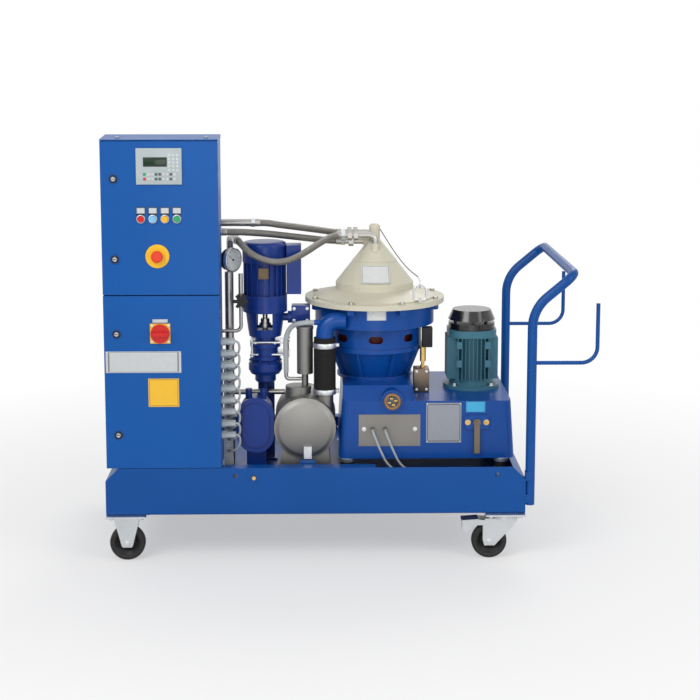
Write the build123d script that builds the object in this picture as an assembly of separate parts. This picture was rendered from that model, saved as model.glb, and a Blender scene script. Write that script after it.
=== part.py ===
from build123d import *
import math
import os

# A mobile oil-cleaning module: a belt-driven disc-stack centrifuge with feed pump, sludge tank and controls,
# carried on a folded-steel cart. Millimetres, X along the cart from cabinets to handle, -Y the operator's side.
# Places are measured from the middle of the base and from the floor. At the end everything is moved along X,
# so that the origin lies on the floor below the middle of the whole machine.

# Clearances
running_gap = 0.3
pin_fit = 0.1

# Cart
base_length = 1475.0
base_width = 800.0
skirt_bottom = 169.0
skirt_top = 338.0
skirt_chamfer = 45.0
skirt_bend = 10.0
tray_sheet = 4.0
deck_top = 290.0
rim_flange = 48.0
bottom_flange = 40.0
bearer_length = 150.0
rim_end_x = 209.5
lashing_hole_radius = 8.5
lashing_hole_x = (-283.5, base_length / 2 - 101)
lashing_hole_z = 310.0
drain_plug_x = -217.5
drain_plug_z = 305.5
drain_plug_radius = 7.0
drain_plug_length = 14.0

# Casters
plate_length = 140.0
plate_depth = 114.0
plate_thickness = 6.0
plate_overhang = 21.0
mount_bolt_radius = 7.0
mount_bolt_height = 7.0
mount_bolt_pitch_x = 105.0
mount_bolt_pitch_y = 86.0
wheel_radius = 62.5
tyre_width = 37.0
rim_radius = 44.0
hub_width = 40.0
axle_radius = 6.0
axle_nut = 18.0
fork_gap = 41.0
fork_sheet = 3.5
fork_top_width = 96.0
fork_web = 4.0
trail = 54.0
raceway_radius = 44.5
raceway_height = 8.0
kingpin_radius = 8.0
kingpin_head_radius = 14.0
kingpin_head_height = 4.0
pedal_pivot_radius = 3.0
pedal_sheet = 3.0
pedal_gap = 0.5

# Cabinets
cabinet_x = -731.5
cabinet_width = 400.0
cabinet_depth = 150.0
cabinet_sheet = 2.0
cabinet_seam_z = 952.0
cabinet_top = 1485.0
roof_rise = 9.0
roof_edge = 3.0
roof_overhang = 4.0
door_depth = 20.0
door_gap = 4.0
door_reveal = 2.0
shell_rim = 20.0
hinge_inset = 5.0
hinge_pin_radius = 2.5
hinge_end_distance = 80.0
hinge_tab_height = 6.0
hinge_lug_height = 14.0
hinge_pin_height = 24.0
stand_size = 40.0
stand_top = cabinet_top - 85
lock_x = cabinet_x + 44.5
lock_radius = 9.0
lock_ring_radius = 16.0
lock_ring_height = 3.0
lock_proud = 5.0
cam_length = 34.0
cam_width = 12.0
cam_thickness = 3.0
upper_lock_z = (cabinet_seam_z + 126, cabinet_top - 131)
lower_lock_z = (460.0, 817.0)
panel_x = -531.2
panel_z = cabinet_top - 88
panel_width = 156.0
panel_height = 124.0
panel_bezel = 6.0
panel_body_margin = 9.0
panel_body_depth = 38.0
button_x = (-595.5, -554.5, -513.5, -472.5)
button_names = ("red_button", "light_button", "yellow_button", "green_button")
button_z = cabinet_top - 268
button_radius = 11.0
button_height = 6.7
button_stem_radius = 8.0
button_stem_length = 30.0
button_travel = 4.0
collar_radius = 15.5
collar_height = 8.0
stop_x = -541.5
stop_z = cabinet_top - 397
stop_ring_radius = 41.0
stop_ring_height = 2.0
stop_collar_radius = 27.0
stop_collar_height = 6.0
stop_stem_radius = 11.0
stop_head_radius = 20.0
stop_head_height = 13.0
stop_travel = 5.0
switch_x = -536.5
switch_z = 819.0
switch_plate = 70.0
switch_plate_thickness = 3.0
knob_radius = 33.0
knob_height = 8.0
knob_grip_width = 14.0
knob_grip_height = 14.0
switch_shaft_radius = 6.0
switch_body = 58.0
switch_body_depth = 40.0
gland_count = 9
gland_first_z = 441.0
gland_pitch = 42.0
gland_y = -330.0
gland_nut = 26.0
gland_nut_length = 14.0
gland_dome = 20.0
gland_dome_length = 34.0

# Push handle
tube_radius = 16.85
handle_gap = 0.15
handle_x = base_length / 2 + tube_radius + handle_gap
handle_y = 383.0
handle_foot_z = 198.0
handle_bend_z = 897.0
handle_bend_radius = 138.0
handle_lean = 50.0
handle_reach = 190.0
handle_corner_radius = 45.0
hook_radius = 7.0
hook_z = 707.0
hook_reach = 228.0
hook_rise = 210.0
hook_bend_radius = 55.0
saddle_height = 60.0
saddle_width = 70.0
saddle_z = (222.0, 302.0)

# Separator
separator_x = 215.5
separator_y = -50.0
frame_bottom_z = 343.0
frame_front_y = -300.0
frame_back_y = 200.0
frame_left_x = 82.0
frame_right_x = 709.0
frame_step_x = 346.0
frame_draft = 14.0
bowl_deck_z = 600.0
bowl_deck_slope = 50.0
motor_deck_z = 553.0
frame_wall = 12.0
frame_corner_radius = 26.0
neck_radius = 62.0
neck_bore = 46.0
neck_bottom_z = 470.0
foot_radius = 24.0
foot_inset_left = 29.0
foot_inset_right = 45.0
foot_pad = 21.0
cover_x = 261.5
cover_z = 446.5
cover_width = 220.0
cover_height = 115.0
cover_thickness = 4.0
window_width = 186.0
window_height = 84.0
sensor_x = (201.0, 246.0)
sensor_z = 451.0
sensor_radius = 8.0
sensor_length = 26.0
sight_x = 271.0
sight_z = 554.0
sight_radius = 30.0
sight_boss_radius = 40.0
sight_boss_height = 16.0
sight_ring_height = 9.0
brake_x = 572.7
brake_z = 476.0
brake_length = 112.0
brake_width = 20.0
brake_thickness = 6.0
brake_pivot_radius = 6.0
brake_pad_width = 84.0
brake_pad_height = 50.0
brake_pad_depth = 8.0

# Bowl casing
cone_flange_radius = 138.0
cone_flange_height = 12.0
cone_low_radius = 122.0
cone_top_radius = 160.0
cone_top_z = 700.0
lip_radius = 178.0
lip_bottom_z = 706.0
lip_top_z = 720.0
slot_ring_radius = 173.0
slot_ring_top_z = 796.0
slot_z = 757.0
slot_width = 52.0
slot_height = 27.0
slot_count = 8
upper_ring_radius = 218.0
upper_ring_bottom_z = 800.0
upper_ring_top_z = 877.0
casing_wall = 9.0
rib_count = 8
rib_thickness = 9.0
spout_y = -185.0
spout_z = 833.0
spout_radius = 31.0
spout_x = -184.0
spout_drop = 60.0
spout_bend = 45.0

# Frame hood
hood_flange_radius = 255.0
hood_flange_top_z = 899.0
hood_skirt_radius = 142.0
hood_skirt_z = 924.0
hood_step_z = 947.0
hood_cone_radius = 80.0
hood_cone_z = 1026.0
hood_neck_radius = 23.0
hood_neck_z = 1098.0
hood_knob_radius = 20.0
hood_top_z = 1159.0
hood_wall = 6.0
hood_bolt_count = 8
hood_bolt_radius = 8.0
hood_bolt_height = 9.0
hood_bolt_circle = 236.0

# Bowl and drive
spindle_radius = 16.0
spindle_bottom_z = 392.0
bearing_bore_fit = 0.05
bearing_height = 18.0
upper_bearing_z = 578.0
lower_bearing_z = 486.0
bowl_radius = 146.0
bowl_bottom_z = 690.0
bowl_floor_z = 708.0
bowl_top_z = 812.0
bowl_wall = 14.0
bowl_lid_top_z = 930.0
bowl_lid_neck_radius = 46.0
disc_count = 6
disc_pitch = 13.0
disc_thickness = 2.5
disc_outer_radius = 108.0
disc_inner_radius = 50.0
disc_drop = 46.0
lock_nut_height = 22.0
pulley_height = 52.0
pulley_bottom_z = 400.0
bowl_pulley_radius = 30.0
motor_pulley_radius = 90.0
pulley_web = 10.0
belt_thickness = 3.0
belt_width = 46.0

# Separator motor
motor_x = 574.5
motor_flange_radius = 104.0
motor_flange_height = 14.0
motor_body_radius = 82.0
motor_shield_height = 38.0
motor_fin_top_z = 745.0
motor_band_top_z = 772.0
motor_half_width = 93.0
fin_pitch = 14.0
fin_thickness = 3.0
cowl_radius = 85.0
cowl_top_z = 795.0
canopy_bottom_z = 806.0
canopy_top_z = 843.0
canopy_bottom_radius = 86.0
canopy_top_radius = 70.0
canopy_post_radius = 5.0
motor_shaft_radius = 14.0

# Feed pump
pump_x = -183.5
pump_y = -150.0
pump_cowl_top_z = 1108.0
pump_cowl_bottom_z = 1035.0
pump_cowl_radius = 80.0
pump_body_bottom_z = 917.0
pump_body_radius = 66.0
pump_fin_radius = 77.0
pump_flange_bottom_z = 867.0
pump_flange_radius = 80.0
lantern_bottom_z = 765.0
lantern_radius = 70.0
lantern_wall = 9.0
lantern_window_width = 56.0
coupling_radius = 9.0
strainer_x = -215.0
strainer_z = 465.0
strainer_front_y = -300.0

# Sludge tank and air vessel
tank_x = -39.5
tank_z = 457.0
tank_radius = 109.0
tank_front_y = -320.0
tank_back_y = -60.0
tank_dish = 10.0
tank_wall = 4.0
vessel_y = -200.0
vessel_radius = 29.0
vessel_bottom_z = 635.0
vessel_top_z = 798.0
tank_neck_x = -64.0
tank_neck_radius = 46.0
tank_neck_top_z = 590.0

# Sludge hose
sludge_hose_radius = 40.0
sludge_hose_x = 31.5
sludge_hose_y = -235.0
sludge_hose_bottom_z = 566.0
sludge_hose_top_z = 772.0
clamp_height = 18.0
clamp_thickness = 1.8
clamp_screw_size = 11.0
clamp_z = (577.0, 745.0)

half_length = base_length / 2
half_width = base_width / 2
front_y = -half_width
cabinet_right_x = cabinet_x + cabinet_width
door_back_y = front_y + door_depth
shell_front_y = door_back_y + door_gap
cabinet_back_y = front_y + cabinet_depth
hinge_x = cabinet_right_x - hinge_inset
hinge_y = door_back_y - 4.0
plate_bottom_z = skirt_bottom - plate_thickness
caster_x = half_length - plate_length / 2
caster_y = half_width + plate_overhang - plate_depth / 2
axle_z = wheel_radius


# Shared shapes
def block(x0, x1, y0, y1, z0, z1):
    """A box between two opposite corners."""
    centre = Pos((x0 + x1) / 2, (y0 + y1) / 2, (z0 + z1) / 2)
    return centre * Box(x1 - x0, y1 - y0, z1 - z0)


def upright(radius, z0, z1, x=0.0, y=0.0):
    """A round bar along Z."""
    return Pos(x, y, (z0 + z1) / 2) * Cylinder(radius, z1 - z0)


def across(radius, y0, y1, x, z):
    """A round bar along Y."""
    return Pos(x, (y0 + y1) / 2, z) * Rot(90, 0, 0) * Cylinder(radius, y1 - y0)


def lengthwise(radius, x0, x1, y, z):
    """A round bar along X."""
    return Pos((x0 + x1) / 2, y, z) * Rot(0, 90, 0) * Cylinder(radius, x1 - x0)


def turned(outline, x=0.0, y=0.0):
    """A body of revolution about an upright axis, from its outline of radius and height."""
    face = make_face(Polyline(*outline, close=True))
    return Pos(x, y, 0) * revolve(Plane.XZ * face, Axis.Z)


def side_plate(outline, y0, y1):
    """A plate of an X-Z outline, between two Y places."""
    face = make_face(Polyline(*outline, close=True))
    return Pos(0, y1, 0) * extrude(Plane.XZ * face, y1 - y0)


def end_plate(outline, x0, x1):
    """A plate of a Y-Z outline, between two X places."""
    face = make_face(Polyline(*outline, close=True))
    return Pos(x0, 0, 0) * extrude(Plane.YZ * face, x1 - x0)


def hexagon(across_flats, height):
    return extrude(RegularPolygon(across_flats / 2, 6, major_radius=False), height)


def bend_radii(points):
    """The largest smooth bend at each corner of a hose's route."""
    radii = []
    for before, here, after in zip(points, points[1:], points[2:]):
        run_in = Vector(here) - Vector(before)
        run_out = Vector(after) - Vector(here)
        turn = math.radians(run_in.get_angle(run_out))
        shorter = min(run_in.length, run_out.length)
        radii.append(0.45 * shorter / math.tan(turn / 2))
    return radii


def straight(start, end, section):
    """A straight run of a section drawn about the origin."""
    run = end - start
    return extrude(Plane(origin=start, z_dir=run) * section, run.length)


def tube(points, radius, bends=None, sides=0):
    """A solid round bar, or one with flat sides, along straight runs joined by arcs."""
    section = RegularPolygon(radius, sides) if sides else Circle(radius)
    route = [Vector(point) for point in points]
    bar = []
    start = route[0]
    for before, here, after, bend in zip(route, route[1:], route[2:], bends or bend_radii(points)):
        way_in = (here - before).normalized()
        way_out = (after - here).normalized()
        turn = math.radians(way_in.get_angle(way_out))
        reach = bend * math.tan(turn / 2)
        arc_start = here - way_in * reach
        turning = way_in.cross(way_out).normalized()
        centre = arc_start + turning.cross(way_in) * bend
        bar.append(straight(start, arc_start, section))
        bar.append(revolve(Plane(origin=arc_start, z_dir=way_in) * section, Axis(centre, turning), math.degrees(turn)))
        start = here + way_out * reach
    bar.append(straight(start, route[-1], section))
    return bar[0].fuse(*bar[1:]) if len(bar) > 1 else bar[0]


# Cart
def tray_outline(inset):
    """The front view of the tray: a box with its two upper corners cut at 45 degrees."""
    cut = skirt_chamfer - inset * (2 - math.sqrt(2))
    end = half_length - inset
    low = skirt_bottom + inset
    top = skirt_top - inset
    return [(-end, low), (end, low), (end, top - cut), (end - cut, top), (cut - end, top), (-end, top - cut)]


def base_tray():
    outer = side_plate(tray_outline(0), -half_width, half_width)
    lower_edges = outer.edges().filter_by(Axis.X).group_by(Axis.Z)[0]
    outer = fillet(lower_edges, skirt_bend)
    inner_y = half_width - tray_sheet
    tray = outer - side_plate(tray_outline(tray_sheet), -inner_y, inner_y)
    mouth_x = half_length - skirt_chamfer
    mouth_y = half_width - rim_flange
    tray -= block(-mouth_x, mouth_x, -mouth_y, mouth_y, skirt_top - 2 * tray_sheet, skirt_top + 1)
    tray -= block(rim_end_x, mouth_x, -inner_y, 0, skirt_top - 2 * tray_sheet, skirt_top + 1)
    well_x = half_length - bearer_length
    well_y = half_width - bottom_flange
    tray -= block(-well_x, well_x, -well_y, well_y, skirt_bottom - 1, skirt_bottom + 2 * tray_sheet)
    tray += block(tray_sheet - half_length, half_length - tray_sheet, -inner_y, inner_y,
                  deck_top - tray_sheet, deck_top)
    for side in (-1, 1):
        web = sorted((side * well_x, side * (well_x + tray_sheet)))
        tray += block(*web, -inner_y, inner_y, skirt_bottom, deck_top)
    for x in lashing_hole_x:
        for side in (-1, 1):
            y = side * half_width
            tray -= across(lashing_hole_radius, y - 2 * tray_sheet, y + 2 * tray_sheet, x, lashing_hole_z)
    tray -= across(drain_plug_radius, front_y - tray_sheet, front_y + 2 * tray_sheet, drain_plug_x, drain_plug_z)
    return [tray]


def mounting_plate(x, y):
    """A caster's plate with its four bolts and nuts, against the bearer."""
    low = plate_bottom_z
    plate = block(x - plate_length / 2, x + plate_length / 2, y - plate_depth / 2, y + plate_depth / 2,
                  low, skirt_bottom)
    outside = y + math.copysign(mount_bolt_pitch_y / 2, y)
    for side in (-1, 1):
        bolt = Pos(x + side * mount_bolt_pitch_x / 2, outside, low - mount_bolt_height)
        plate += bolt * hexagon(2 * mount_bolt_radius, mount_bolt_height)
    return plate


def rigid_leg(x, y0, y1):
    half_top = fork_top_width / 2
    outline = [(x - half_top, plate_bottom_z), (x - axle_nut, axle_z - axle_nut + 4),
               (x + axle_nut, axle_z - axle_nut + 4), (x + half_top, plate_bottom_z)]
    leg = side_plate(outline, y0, y1)
    low_edges = leg.edges().filter_by(Axis.Y).group_by(Axis.Z)[0]
    return fillet(low_edges, axle_nut / 2)


def axle(x, y):
    """A wheel's bolt with its head and nut outside the fork."""
    half = fork_gap / 2 + fork_sheet
    bar = across(axle_radius, y - half, y + half, x, axle_z)
    for side in (-1, 1):
        head_y = y + side * half
        face = Plane(origin=(x, head_y, axle_z), z_dir=(0, side, 0))
        bar += face * hexagon(axle_nut, axle_radius)
    return bar


def rigid_caster(x, y):
    caster = mounting_plate(x, y) + axle(x, y)
    half_top = fork_top_width / 2
    for side in (-1, 1):
        leg = sorted((y + side * fork_gap / 2, y + side * (fork_gap / 2 + fork_sheet)))
        caster += rigid_leg(x, *leg)
    half = fork_gap / 2 + fork_sheet
    caster += block(x - half_top, x + half_top, y - half, y + half, plate_bottom_z - fork_web, plate_bottom_z)
    return caster


raceway_z = plate_bottom_z - raceway_height
fork_top_z = raceway_z - running_gap
fork_web_z = fork_top_z - raceway_height
fork_under_z = fork_web_z - fork_web


def swivel_mount(x, y):
    """A swivel caster's plate, upper race and kingpin."""
    mount = mounting_plate(x, y)
    mount += upright(raceway_radius, raceway_z, plate_bottom_z, x, y)
    head_top = fork_under_z - running_gap
    mount += upright(kingpin_radius, head_top, raceway_z, x, y)
    mount += upright(kingpin_head_radius, head_top - kingpin_head_height, head_top, x, y)
    return mount


def swivel_fork(x, y):
    """A swivel caster's fork with its lower race and axle, the wheel trailing on the cabinets' side."""
    wheel_x = x - trail
    fork = upright(raceway_radius, fork_web_z, fork_top_z, x, y)
    half = fork_gap / 2 + fork_sheet
    fork += block(x - raceway_radius, x + raceway_radius, y - half, y + half, fork_under_z, fork_web_z)
    outline = [(wheel_x - 24, axle_z + 66), (wheel_x - 16, fork_web_z), (x + raceway_radius - 2, fork_web_z),
               (x + raceway_radius - 2, fork_under_z - 6), (wheel_x + axle_nut, axle_z - 14),
               (wheel_x - axle_nut, axle_z - 14), (wheel_x - 24, axle_z + 8)]
    for side in (-1, 1):
        leg = sorted((y + side * fork_gap / 2, y + side * half))
        fork += side_plate(outline, *leg)
    fork -= upright(kingpin_radius + pin_fit, fork_under_z - 1, fork_top_z + 1, x, y)
    pivot_x, pivot_z = pedal_pivot(x)
    fork -= across(pedal_pivot_radius + pin_fit, y - half - 1, y + half + 1, pivot_x, pivot_z)
    return fork + axle(wheel_x, y)


def pedal_pivot(x):
    """Where a brake pedal's pin crosses the fork."""
    return x - trail - 12, axle_z + wheel_radius + 7


def brake_pedal(x, y):
    """A brake pedal: two arms on a pin through the fork, bridged by a foot pad."""
    pivot_x, pivot_z = pedal_pivot(x)
    inner = fork_gap / 2 + fork_sheet + pedal_gap
    outer = inner + pedal_sheet
    pedal = across(pedal_pivot_radius, y - outer, y + outer, pivot_x, pivot_z)
    tip_x = pivot_x - 84
    outline = [(pivot_x + 8, pivot_z - 8), (pivot_x + 8, pivot_z + 9), (pivot_x - 28, pivot_z + 12),
               (tip_x, pivot_z + 8), (tip_x, pivot_z - 34), (tip_x + 22, pivot_z - 34), (pivot_x - 44, pivot_z - 8)]
    for side in (-1, 1):
        arm = sorted((y + side * inner, y + side * outer))
        pedal += side_plate(outline, *arm)
    pad = [(pivot_x - 28, pivot_z + 6), (pivot_x - 28, pivot_z + 14), (tip_x - 3, pivot_z + 10),
           (tip_x - 3, pivot_z + 2)]
    pedal += side_plate(pad, y - outer, y + outer)
    return pedal


def wheel(x, y):
    """A wheel with a dished disc and a rubber tread."""
    half = tyre_width / 2
    hub = hub_width / 2
    bore = axle_radius + pin_fit
    outline = [(bore, -hub), (rim_radius, -half), (wheel_radius, -half), (wheel_radius, half),
               (rim_radius, half), (bore, hub)]
    face = make_face(Polyline(*outline, close=True))
    return Pos(x, y, axle_z) * Rot(90, 0, 0) * revolve(Plane.XZ * face, Axis.Z)


def push_handle():
    """The bent tube with its two hose hooks and the saddles that bolt it to the tray."""
    lean = math.radians(handle_lean)
    bar_x = handle_x + handle_reach * math.sin(lean)
    bar_z = handle_bend_z + handle_reach * math.cos(lean)
    route = [(handle_x, -handle_y, handle_foot_z), (handle_x, -handle_y, handle_bend_z),
             (bar_x, -handle_y, bar_z), (bar_x, handle_y, bar_z),
             (handle_x, handle_y, handle_bend_z), (handle_x, handle_y, handle_foot_z)]
    bends = [handle_bend_radius, handle_corner_radius, handle_corner_radius, handle_bend_radius]
    handle = tube(route, tube_radius, bends)
    for y in (-handle_y, handle_y):
        hook = [(handle_x, y, hook_z), (handle_x + hook_reach, y, hook_z),
                (handle_x + hook_reach, y, hook_z + hook_rise)]
        handle += tube(hook, hook_radius, [hook_bend_radius])
        for z in saddle_z:
            handle += block(half_length, handle_x, y - saddle_width / 4, y + saddle_width / 4,
                            z - saddle_height / 4, z + saddle_height / 4)
    return [handle]


# Cabinets
def hinge_heights(low, high):
    return (low + hinge_end_distance, high - hinge_end_distance - hinge_pin_height)


def cabinet_shell(low, high, door_low, door_high):
    """A sheet box open at the front inside a rim, with the hinge pins on its right."""
    wall = cabinet_sheet
    left, right = cabinet_x, cabinet_right_x
    shell = block(left, right, shell_front_y, cabinet_back_y, low, high)
    shell -= block(left + wall, right - wall, shell_front_y + wall, cabinet_back_y - wall, low + wall, high - wall)
    shell -= block(left + shell_rim, right - shell_rim, shell_front_y - 1, shell_front_y + wall + 1,
                   low + shell_rim, high - shell_rim)
    for z in hinge_heights(door_low, door_high):
        shell += block(hinge_x - hinge_pin_radius, hinge_x + hinge_pin_radius, hinge_y, shell_front_y,
                       z, z + hinge_tab_height)
        shell += upright(hinge_pin_radius, z, z + hinge_pin_height, hinge_x, hinge_y)
    return shell


def cabinet_roof():
    """The sloping rain roof of the upper cabinet."""
    front = front_y - roof_overhang
    back = cabinet_back_y + roof_overhang
    outline = [(front, cabinet_top), (back, cabinet_top), (back, cabinet_top + roof_edge + roof_rise),
               (front, cabinet_top + roof_edge)]
    return end_plate(outline, cabinet_x - 1, cabinet_right_x + 1)


def cabinet_stand():
    """Two posts from the deck that the cabinets are bolted to, with their feet."""
    posts = []
    for x in (cabinet_x + 90, cabinet_right_x - 90):
        half = stand_size / 2
        post = block(x - half, x + half, cabinet_back_y, cabinet_back_y + stand_size, deck_top, stand_top)
        post += block(x - 0.8 * stand_size, x + 0.8 * stand_size, cabinet_back_y - 10, cabinet_back_y + 2 * stand_size,
                      deck_top, deck_top + 6)
        posts.append(post)
    return posts


def door(low, high, lock_heights):
    """A door folded from sheet, with hinge lugs inside and a ring round each lock."""
    wall = cabinet_sheet
    left, right = cabinet_x, cabinet_right_x
    leaf = block(left, right, front_y, door_back_y, low, high)
    leaf -= block(left + wall, right - wall, front_y + wall, door_back_y + 1, low + wall, high - wall)
    for z in hinge_heights(low, high):
        leaf -= block(right - 2 * wall, right + 1, hinge_y - 6, door_back_y + 1, z - 3, z + hinge_pin_height + 3)
        lug_z = z + hinge_tab_height + running_gap
        lug = block(hinge_x - 3.5, right - wall, front_y + wall, hinge_y + 3.5, lug_z, lug_z + hinge_lug_height)
        leaf += lug - upright(hinge_pin_radius + pin_fit, z, z + hinge_pin_height, hinge_x, hinge_y)
    for z in lock_heights:
        leaf += across(lock_ring_radius, front_y - lock_ring_height, front_y, lock_x, z)
        leaf -= across(lock_radius + pin_fit, front_y - lock_ring_height - 1, front_y + wall + 1, lock_x, z)
    return leaf


def door_lock(z):
    """A quarter-turn lock: its barrel and, inside, the cam that hangs down when it is open."""
    flange_back = shell_front_y + cabinet_sheet + 0.5
    barrel = across(lock_radius, front_y - lock_proud, flange_back, lock_x, z)
    cam = block(lock_x - cam_width / 2, lock_x + cam_width / 2, flange_back, flange_back + cam_thickness,
                z - cam_length, z + cam_width / 2)
    return barrel + cam


door_low_z = skirt_top + door_reveal
door_seam_low = cabinet_seam_z - door_reveal
door_seam_high = cabinet_seam_z + door_reveal
door_high_z = cabinet_top - door_reveal
skin_back_y = front_y + cabinet_sheet


def upper_door():
    leaf = door(door_seam_high, door_high_z, upper_lock_z)
    body = panel_width / 2 - panel_body_margin
    tall = panel_height / 2 - panel_body_margin
    leaf -= block(panel_x - body, panel_x + body, front_y - 1, skin_back_y + 1, panel_z - tall, panel_z + tall)
    for x in button_x:
        leaf -= across(button_stem_radius + running_gap, front_y - 1, skin_back_y + 1, x, button_z)
    leaf -= across(stop_stem_radius + running_gap, front_y - 1, skin_back_y + 1, stop_x, stop_z)
    return [leaf]


def operator_panel():
    """The keypad panel with its body behind the door, and the collars of the buttons."""
    body = panel_width / 2 - panel_body_margin
    tall = panel_height / 2 - panel_body_margin
    bezel = block(panel_x - panel_width / 2, panel_x + panel_width / 2, front_y - panel_bezel, front_y,
                  panel_z - panel_height / 2, panel_z + panel_height / 2)
    bezel += block(panel_x - body, panel_x + body, front_y, front_y + panel_body_depth,
                   panel_z - tall, panel_z + tall)
    pieces = [bezel]
    for x in button_x:
        ring = across(collar_radius, front_y - collar_height, front_y, x, button_z)
        pieces.append(ring - across(button_radius + running_gap, front_y - collar_height - 1, front_y + 1, x, button_z))
    ring = across(stop_ring_radius, front_y - stop_ring_height, front_y, stop_x, stop_z)
    ring += across(stop_collar_radius, front_y - stop_collar_height, front_y - stop_ring_height, stop_x, stop_z)
    ring -= across(stop_stem_radius + running_gap, front_y - stop_collar_height - 1, front_y + 1, stop_x, stop_z)
    pieces.append(ring)
    return pieces


def push_button(x):
    """A button cap on its stem, clear of the door by its travel."""
    cap_back = front_y - button_travel - running_gap
    cap = across(button_radius, cap_back - button_height, cap_back, x, button_z)
    return cap + across(button_stem_radius, cap_back, cap_back + button_stem_length, x, button_z)


def estop_button():
    """The mushroom head of the emergency stop on its stem."""
    head_back = front_y - stop_collar_height - stop_travel - 1
    head = across(stop_head_radius, head_back - stop_head_height, head_back, stop_x, stop_z)
    head = chamfer(head.edges().group_by(Axis.Y)[0], stop_head_height / 3)
    return head + across(stop_stem_radius, head_back, skin_back_y + button_stem_length, stop_x, stop_z)


def lower_door():
    leaf = door(door_low_z, door_seam_low, lower_lock_z)
    leaf -= across(switch_shaft_radius + running_gap, front_y - 1, skin_back_y + 1, switch_x, switch_z)
    return [leaf]


def switch_plate_and_body():
    """The main switch's square plate and the switch behind the door."""
    half = switch_plate / 2
    plate = block(switch_x - half, switch_x + half, front_y - switch_plate_thickness, front_y,
                  switch_z - half, switch_z + half)
    plate -= across(switch_shaft_radius + running_gap, front_y - switch_plate_thickness - 1, front_y + 1,
                    switch_x, switch_z)
    half = switch_body / 2
    body = block(switch_x - half, switch_x + half, skin_back_y, skin_back_y + switch_body_depth,
                 switch_z - half, switch_z + half)
    return [plate, body]


def main_switch():
    """The rotary handle of the main switch with its grip bar."""
    back = front_y - switch_plate_thickness - running_gap
    knob = across(knob_radius, back - knob_height, back, switch_x, switch_z)
    grip = knob_radius - 4
    knob += block(switch_x - grip, switch_x + grip, back - knob_height - knob_grip_height, back - knob_height,
                  switch_z - knob_grip_width / 2, switch_z + knob_grip_width / 2)
    return knob + across(switch_shaft_radius, back, skin_back_y - running_gap, switch_x, switch_z)


def control_gear():
    """The mounting plates at the back of both cabinets with their rails and switchgear."""
    pieces = []
    back = cabinet_back_y - cabinet_sheet
    left = cabinet_x + 25
    right = cabinet_right_x - 25
    for low, high, rows in ((skirt_top + 40, cabinet_seam_z - 40, 3), (cabinet_seam_z + 40, cabinet_top - 40, 2)):
        plate = block(left, right, back - 3, back, low, high)
        for row in range(rows):
            rail_z = low + (row + 0.6) * (high - low) / rows
            plate += block(left + 12, right - 12, back - 10, back - 3, rail_z - 17, rail_z + 17)
            x = left + 30
            for width in (90, 54, 54, 45):
                pieces.append(block(x, x + width - 4, back - 62, back - 10, rail_z - 40, rail_z + 40))
                x += width
        pieces.append(plate)
    return pieces


gland_z = [gland_first_z + i * gland_pitch for i in range(gland_count)]


def cable_glands():
    """The glands down the lower cabinet's right wall: a nut and a dome each."""
    pieces = []
    for z in gland_z:
        seat = Plane(origin=(cabinet_right_x, gland_y, z), z_dir=(1, 0, 0))
        gland = seat * hexagon(gland_nut, gland_nut_length)
        gland += seat * hexagon(gland_dome, gland_nut_length + gland_dome_length)
        pieces.append(gland)
    return pieces


# Separator frame
def separator_base():
    """The cast base: a bowl deck with a sloping front, a lower motor deck and a belt chamber open below."""
    right_top = frame_right_x - frame_draft
    left_top = frame_left_x + frame_draft
    outline = [(frame_left_x, frame_bottom_z), (frame_right_x, frame_bottom_z), (right_top, motor_deck_z),
               (frame_step_x + frame_draft / 2, motor_deck_z), (frame_step_x, bowl_deck_z), (left_top, bowl_deck_z)]
    base = side_plate(outline, frame_front_y, frame_back_y)
    upright_edges = base.edges().filter_by(lambda edge: abs(edge.center().Y - (frame_front_y + frame_back_y) / 2) > 1)
    ends = upright_edges.group_by(Axis.X)
    base = fillet(ends[0] + ends[-1], frame_corner_radius)
    slope = [(frame_front_y - 1, bowl_deck_z - bowl_deck_slope), (frame_front_y - 1, bowl_deck_z + 1),
             (frame_front_y + bowl_deck_slope + 1, bowl_deck_z + 1)]
    base -= end_plate(slope, frame_left_x - 1, frame_step_x + 1)
    wall = frame_wall
    chamber_top = motor_deck_z - 1.25 * wall
    chamber = [(frame_left_x + wall, frame_bottom_z - 1), (frame_right_x - wall, frame_bottom_z - 1),
               (right_top - wall, chamber_top), (left_top + wall, chamber_top)]
    base -= side_plate(chamber, frame_front_y + wall, frame_back_y - wall)
    base += upright(neck_radius, neck_bottom_z, chamber_top + 1, separator_x, separator_y)
    base -= upright(neck_bore, neck_bottom_z - 1, bowl_deck_z + 1, separator_x, separator_y)
    base -= upright(motor_shaft_radius * 3, chamber_top - 1, motor_deck_z + 1, motor_x, separator_y)
    base += across(sight_boss_radius, frame_front_y - sight_boss_height / 2, frame_front_y + bowl_deck_slope,
                   sight_x, sight_z)
    base -= block(cover_x - cover_width / 2 - running_gap, cover_x + cover_width / 2 + running_gap,
                  frame_front_y - 1, frame_front_y + cover_thickness,
                  cover_z - cover_height / 2 - running_gap, cover_z + cover_height / 2 + running_gap)
    base -= block(cover_x - window_width / 2, cover_x + window_width / 2, frame_front_y - 1, frame_front_y + wall + 1,
                  cover_z - window_height / 2, cover_z + window_height / 2)
    pad = [brake_x - brake_pad_width / 2, brake_x + brake_pad_width / 2]
    base += block(*pad, frame_front_y - brake_pad_depth, frame_front_y + 1,
                  brake_z - brake_pad_height / 2, brake_z + brake_pad_height / 2)
    for x in foot_places_x:
        for y in foot_places_y:
            base += block(x - foot_pad, x + foot_pad, y - foot_pad, y + foot_pad,
                          frame_bottom_z, frame_bottom_z + wall)
    return [base]


foot_places_x = (frame_left_x + foot_inset_left, frame_right_x - foot_inset_right)
foot_places_y = (frame_front_y + foot_inset_left, frame_back_y - foot_inset_left)


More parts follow.
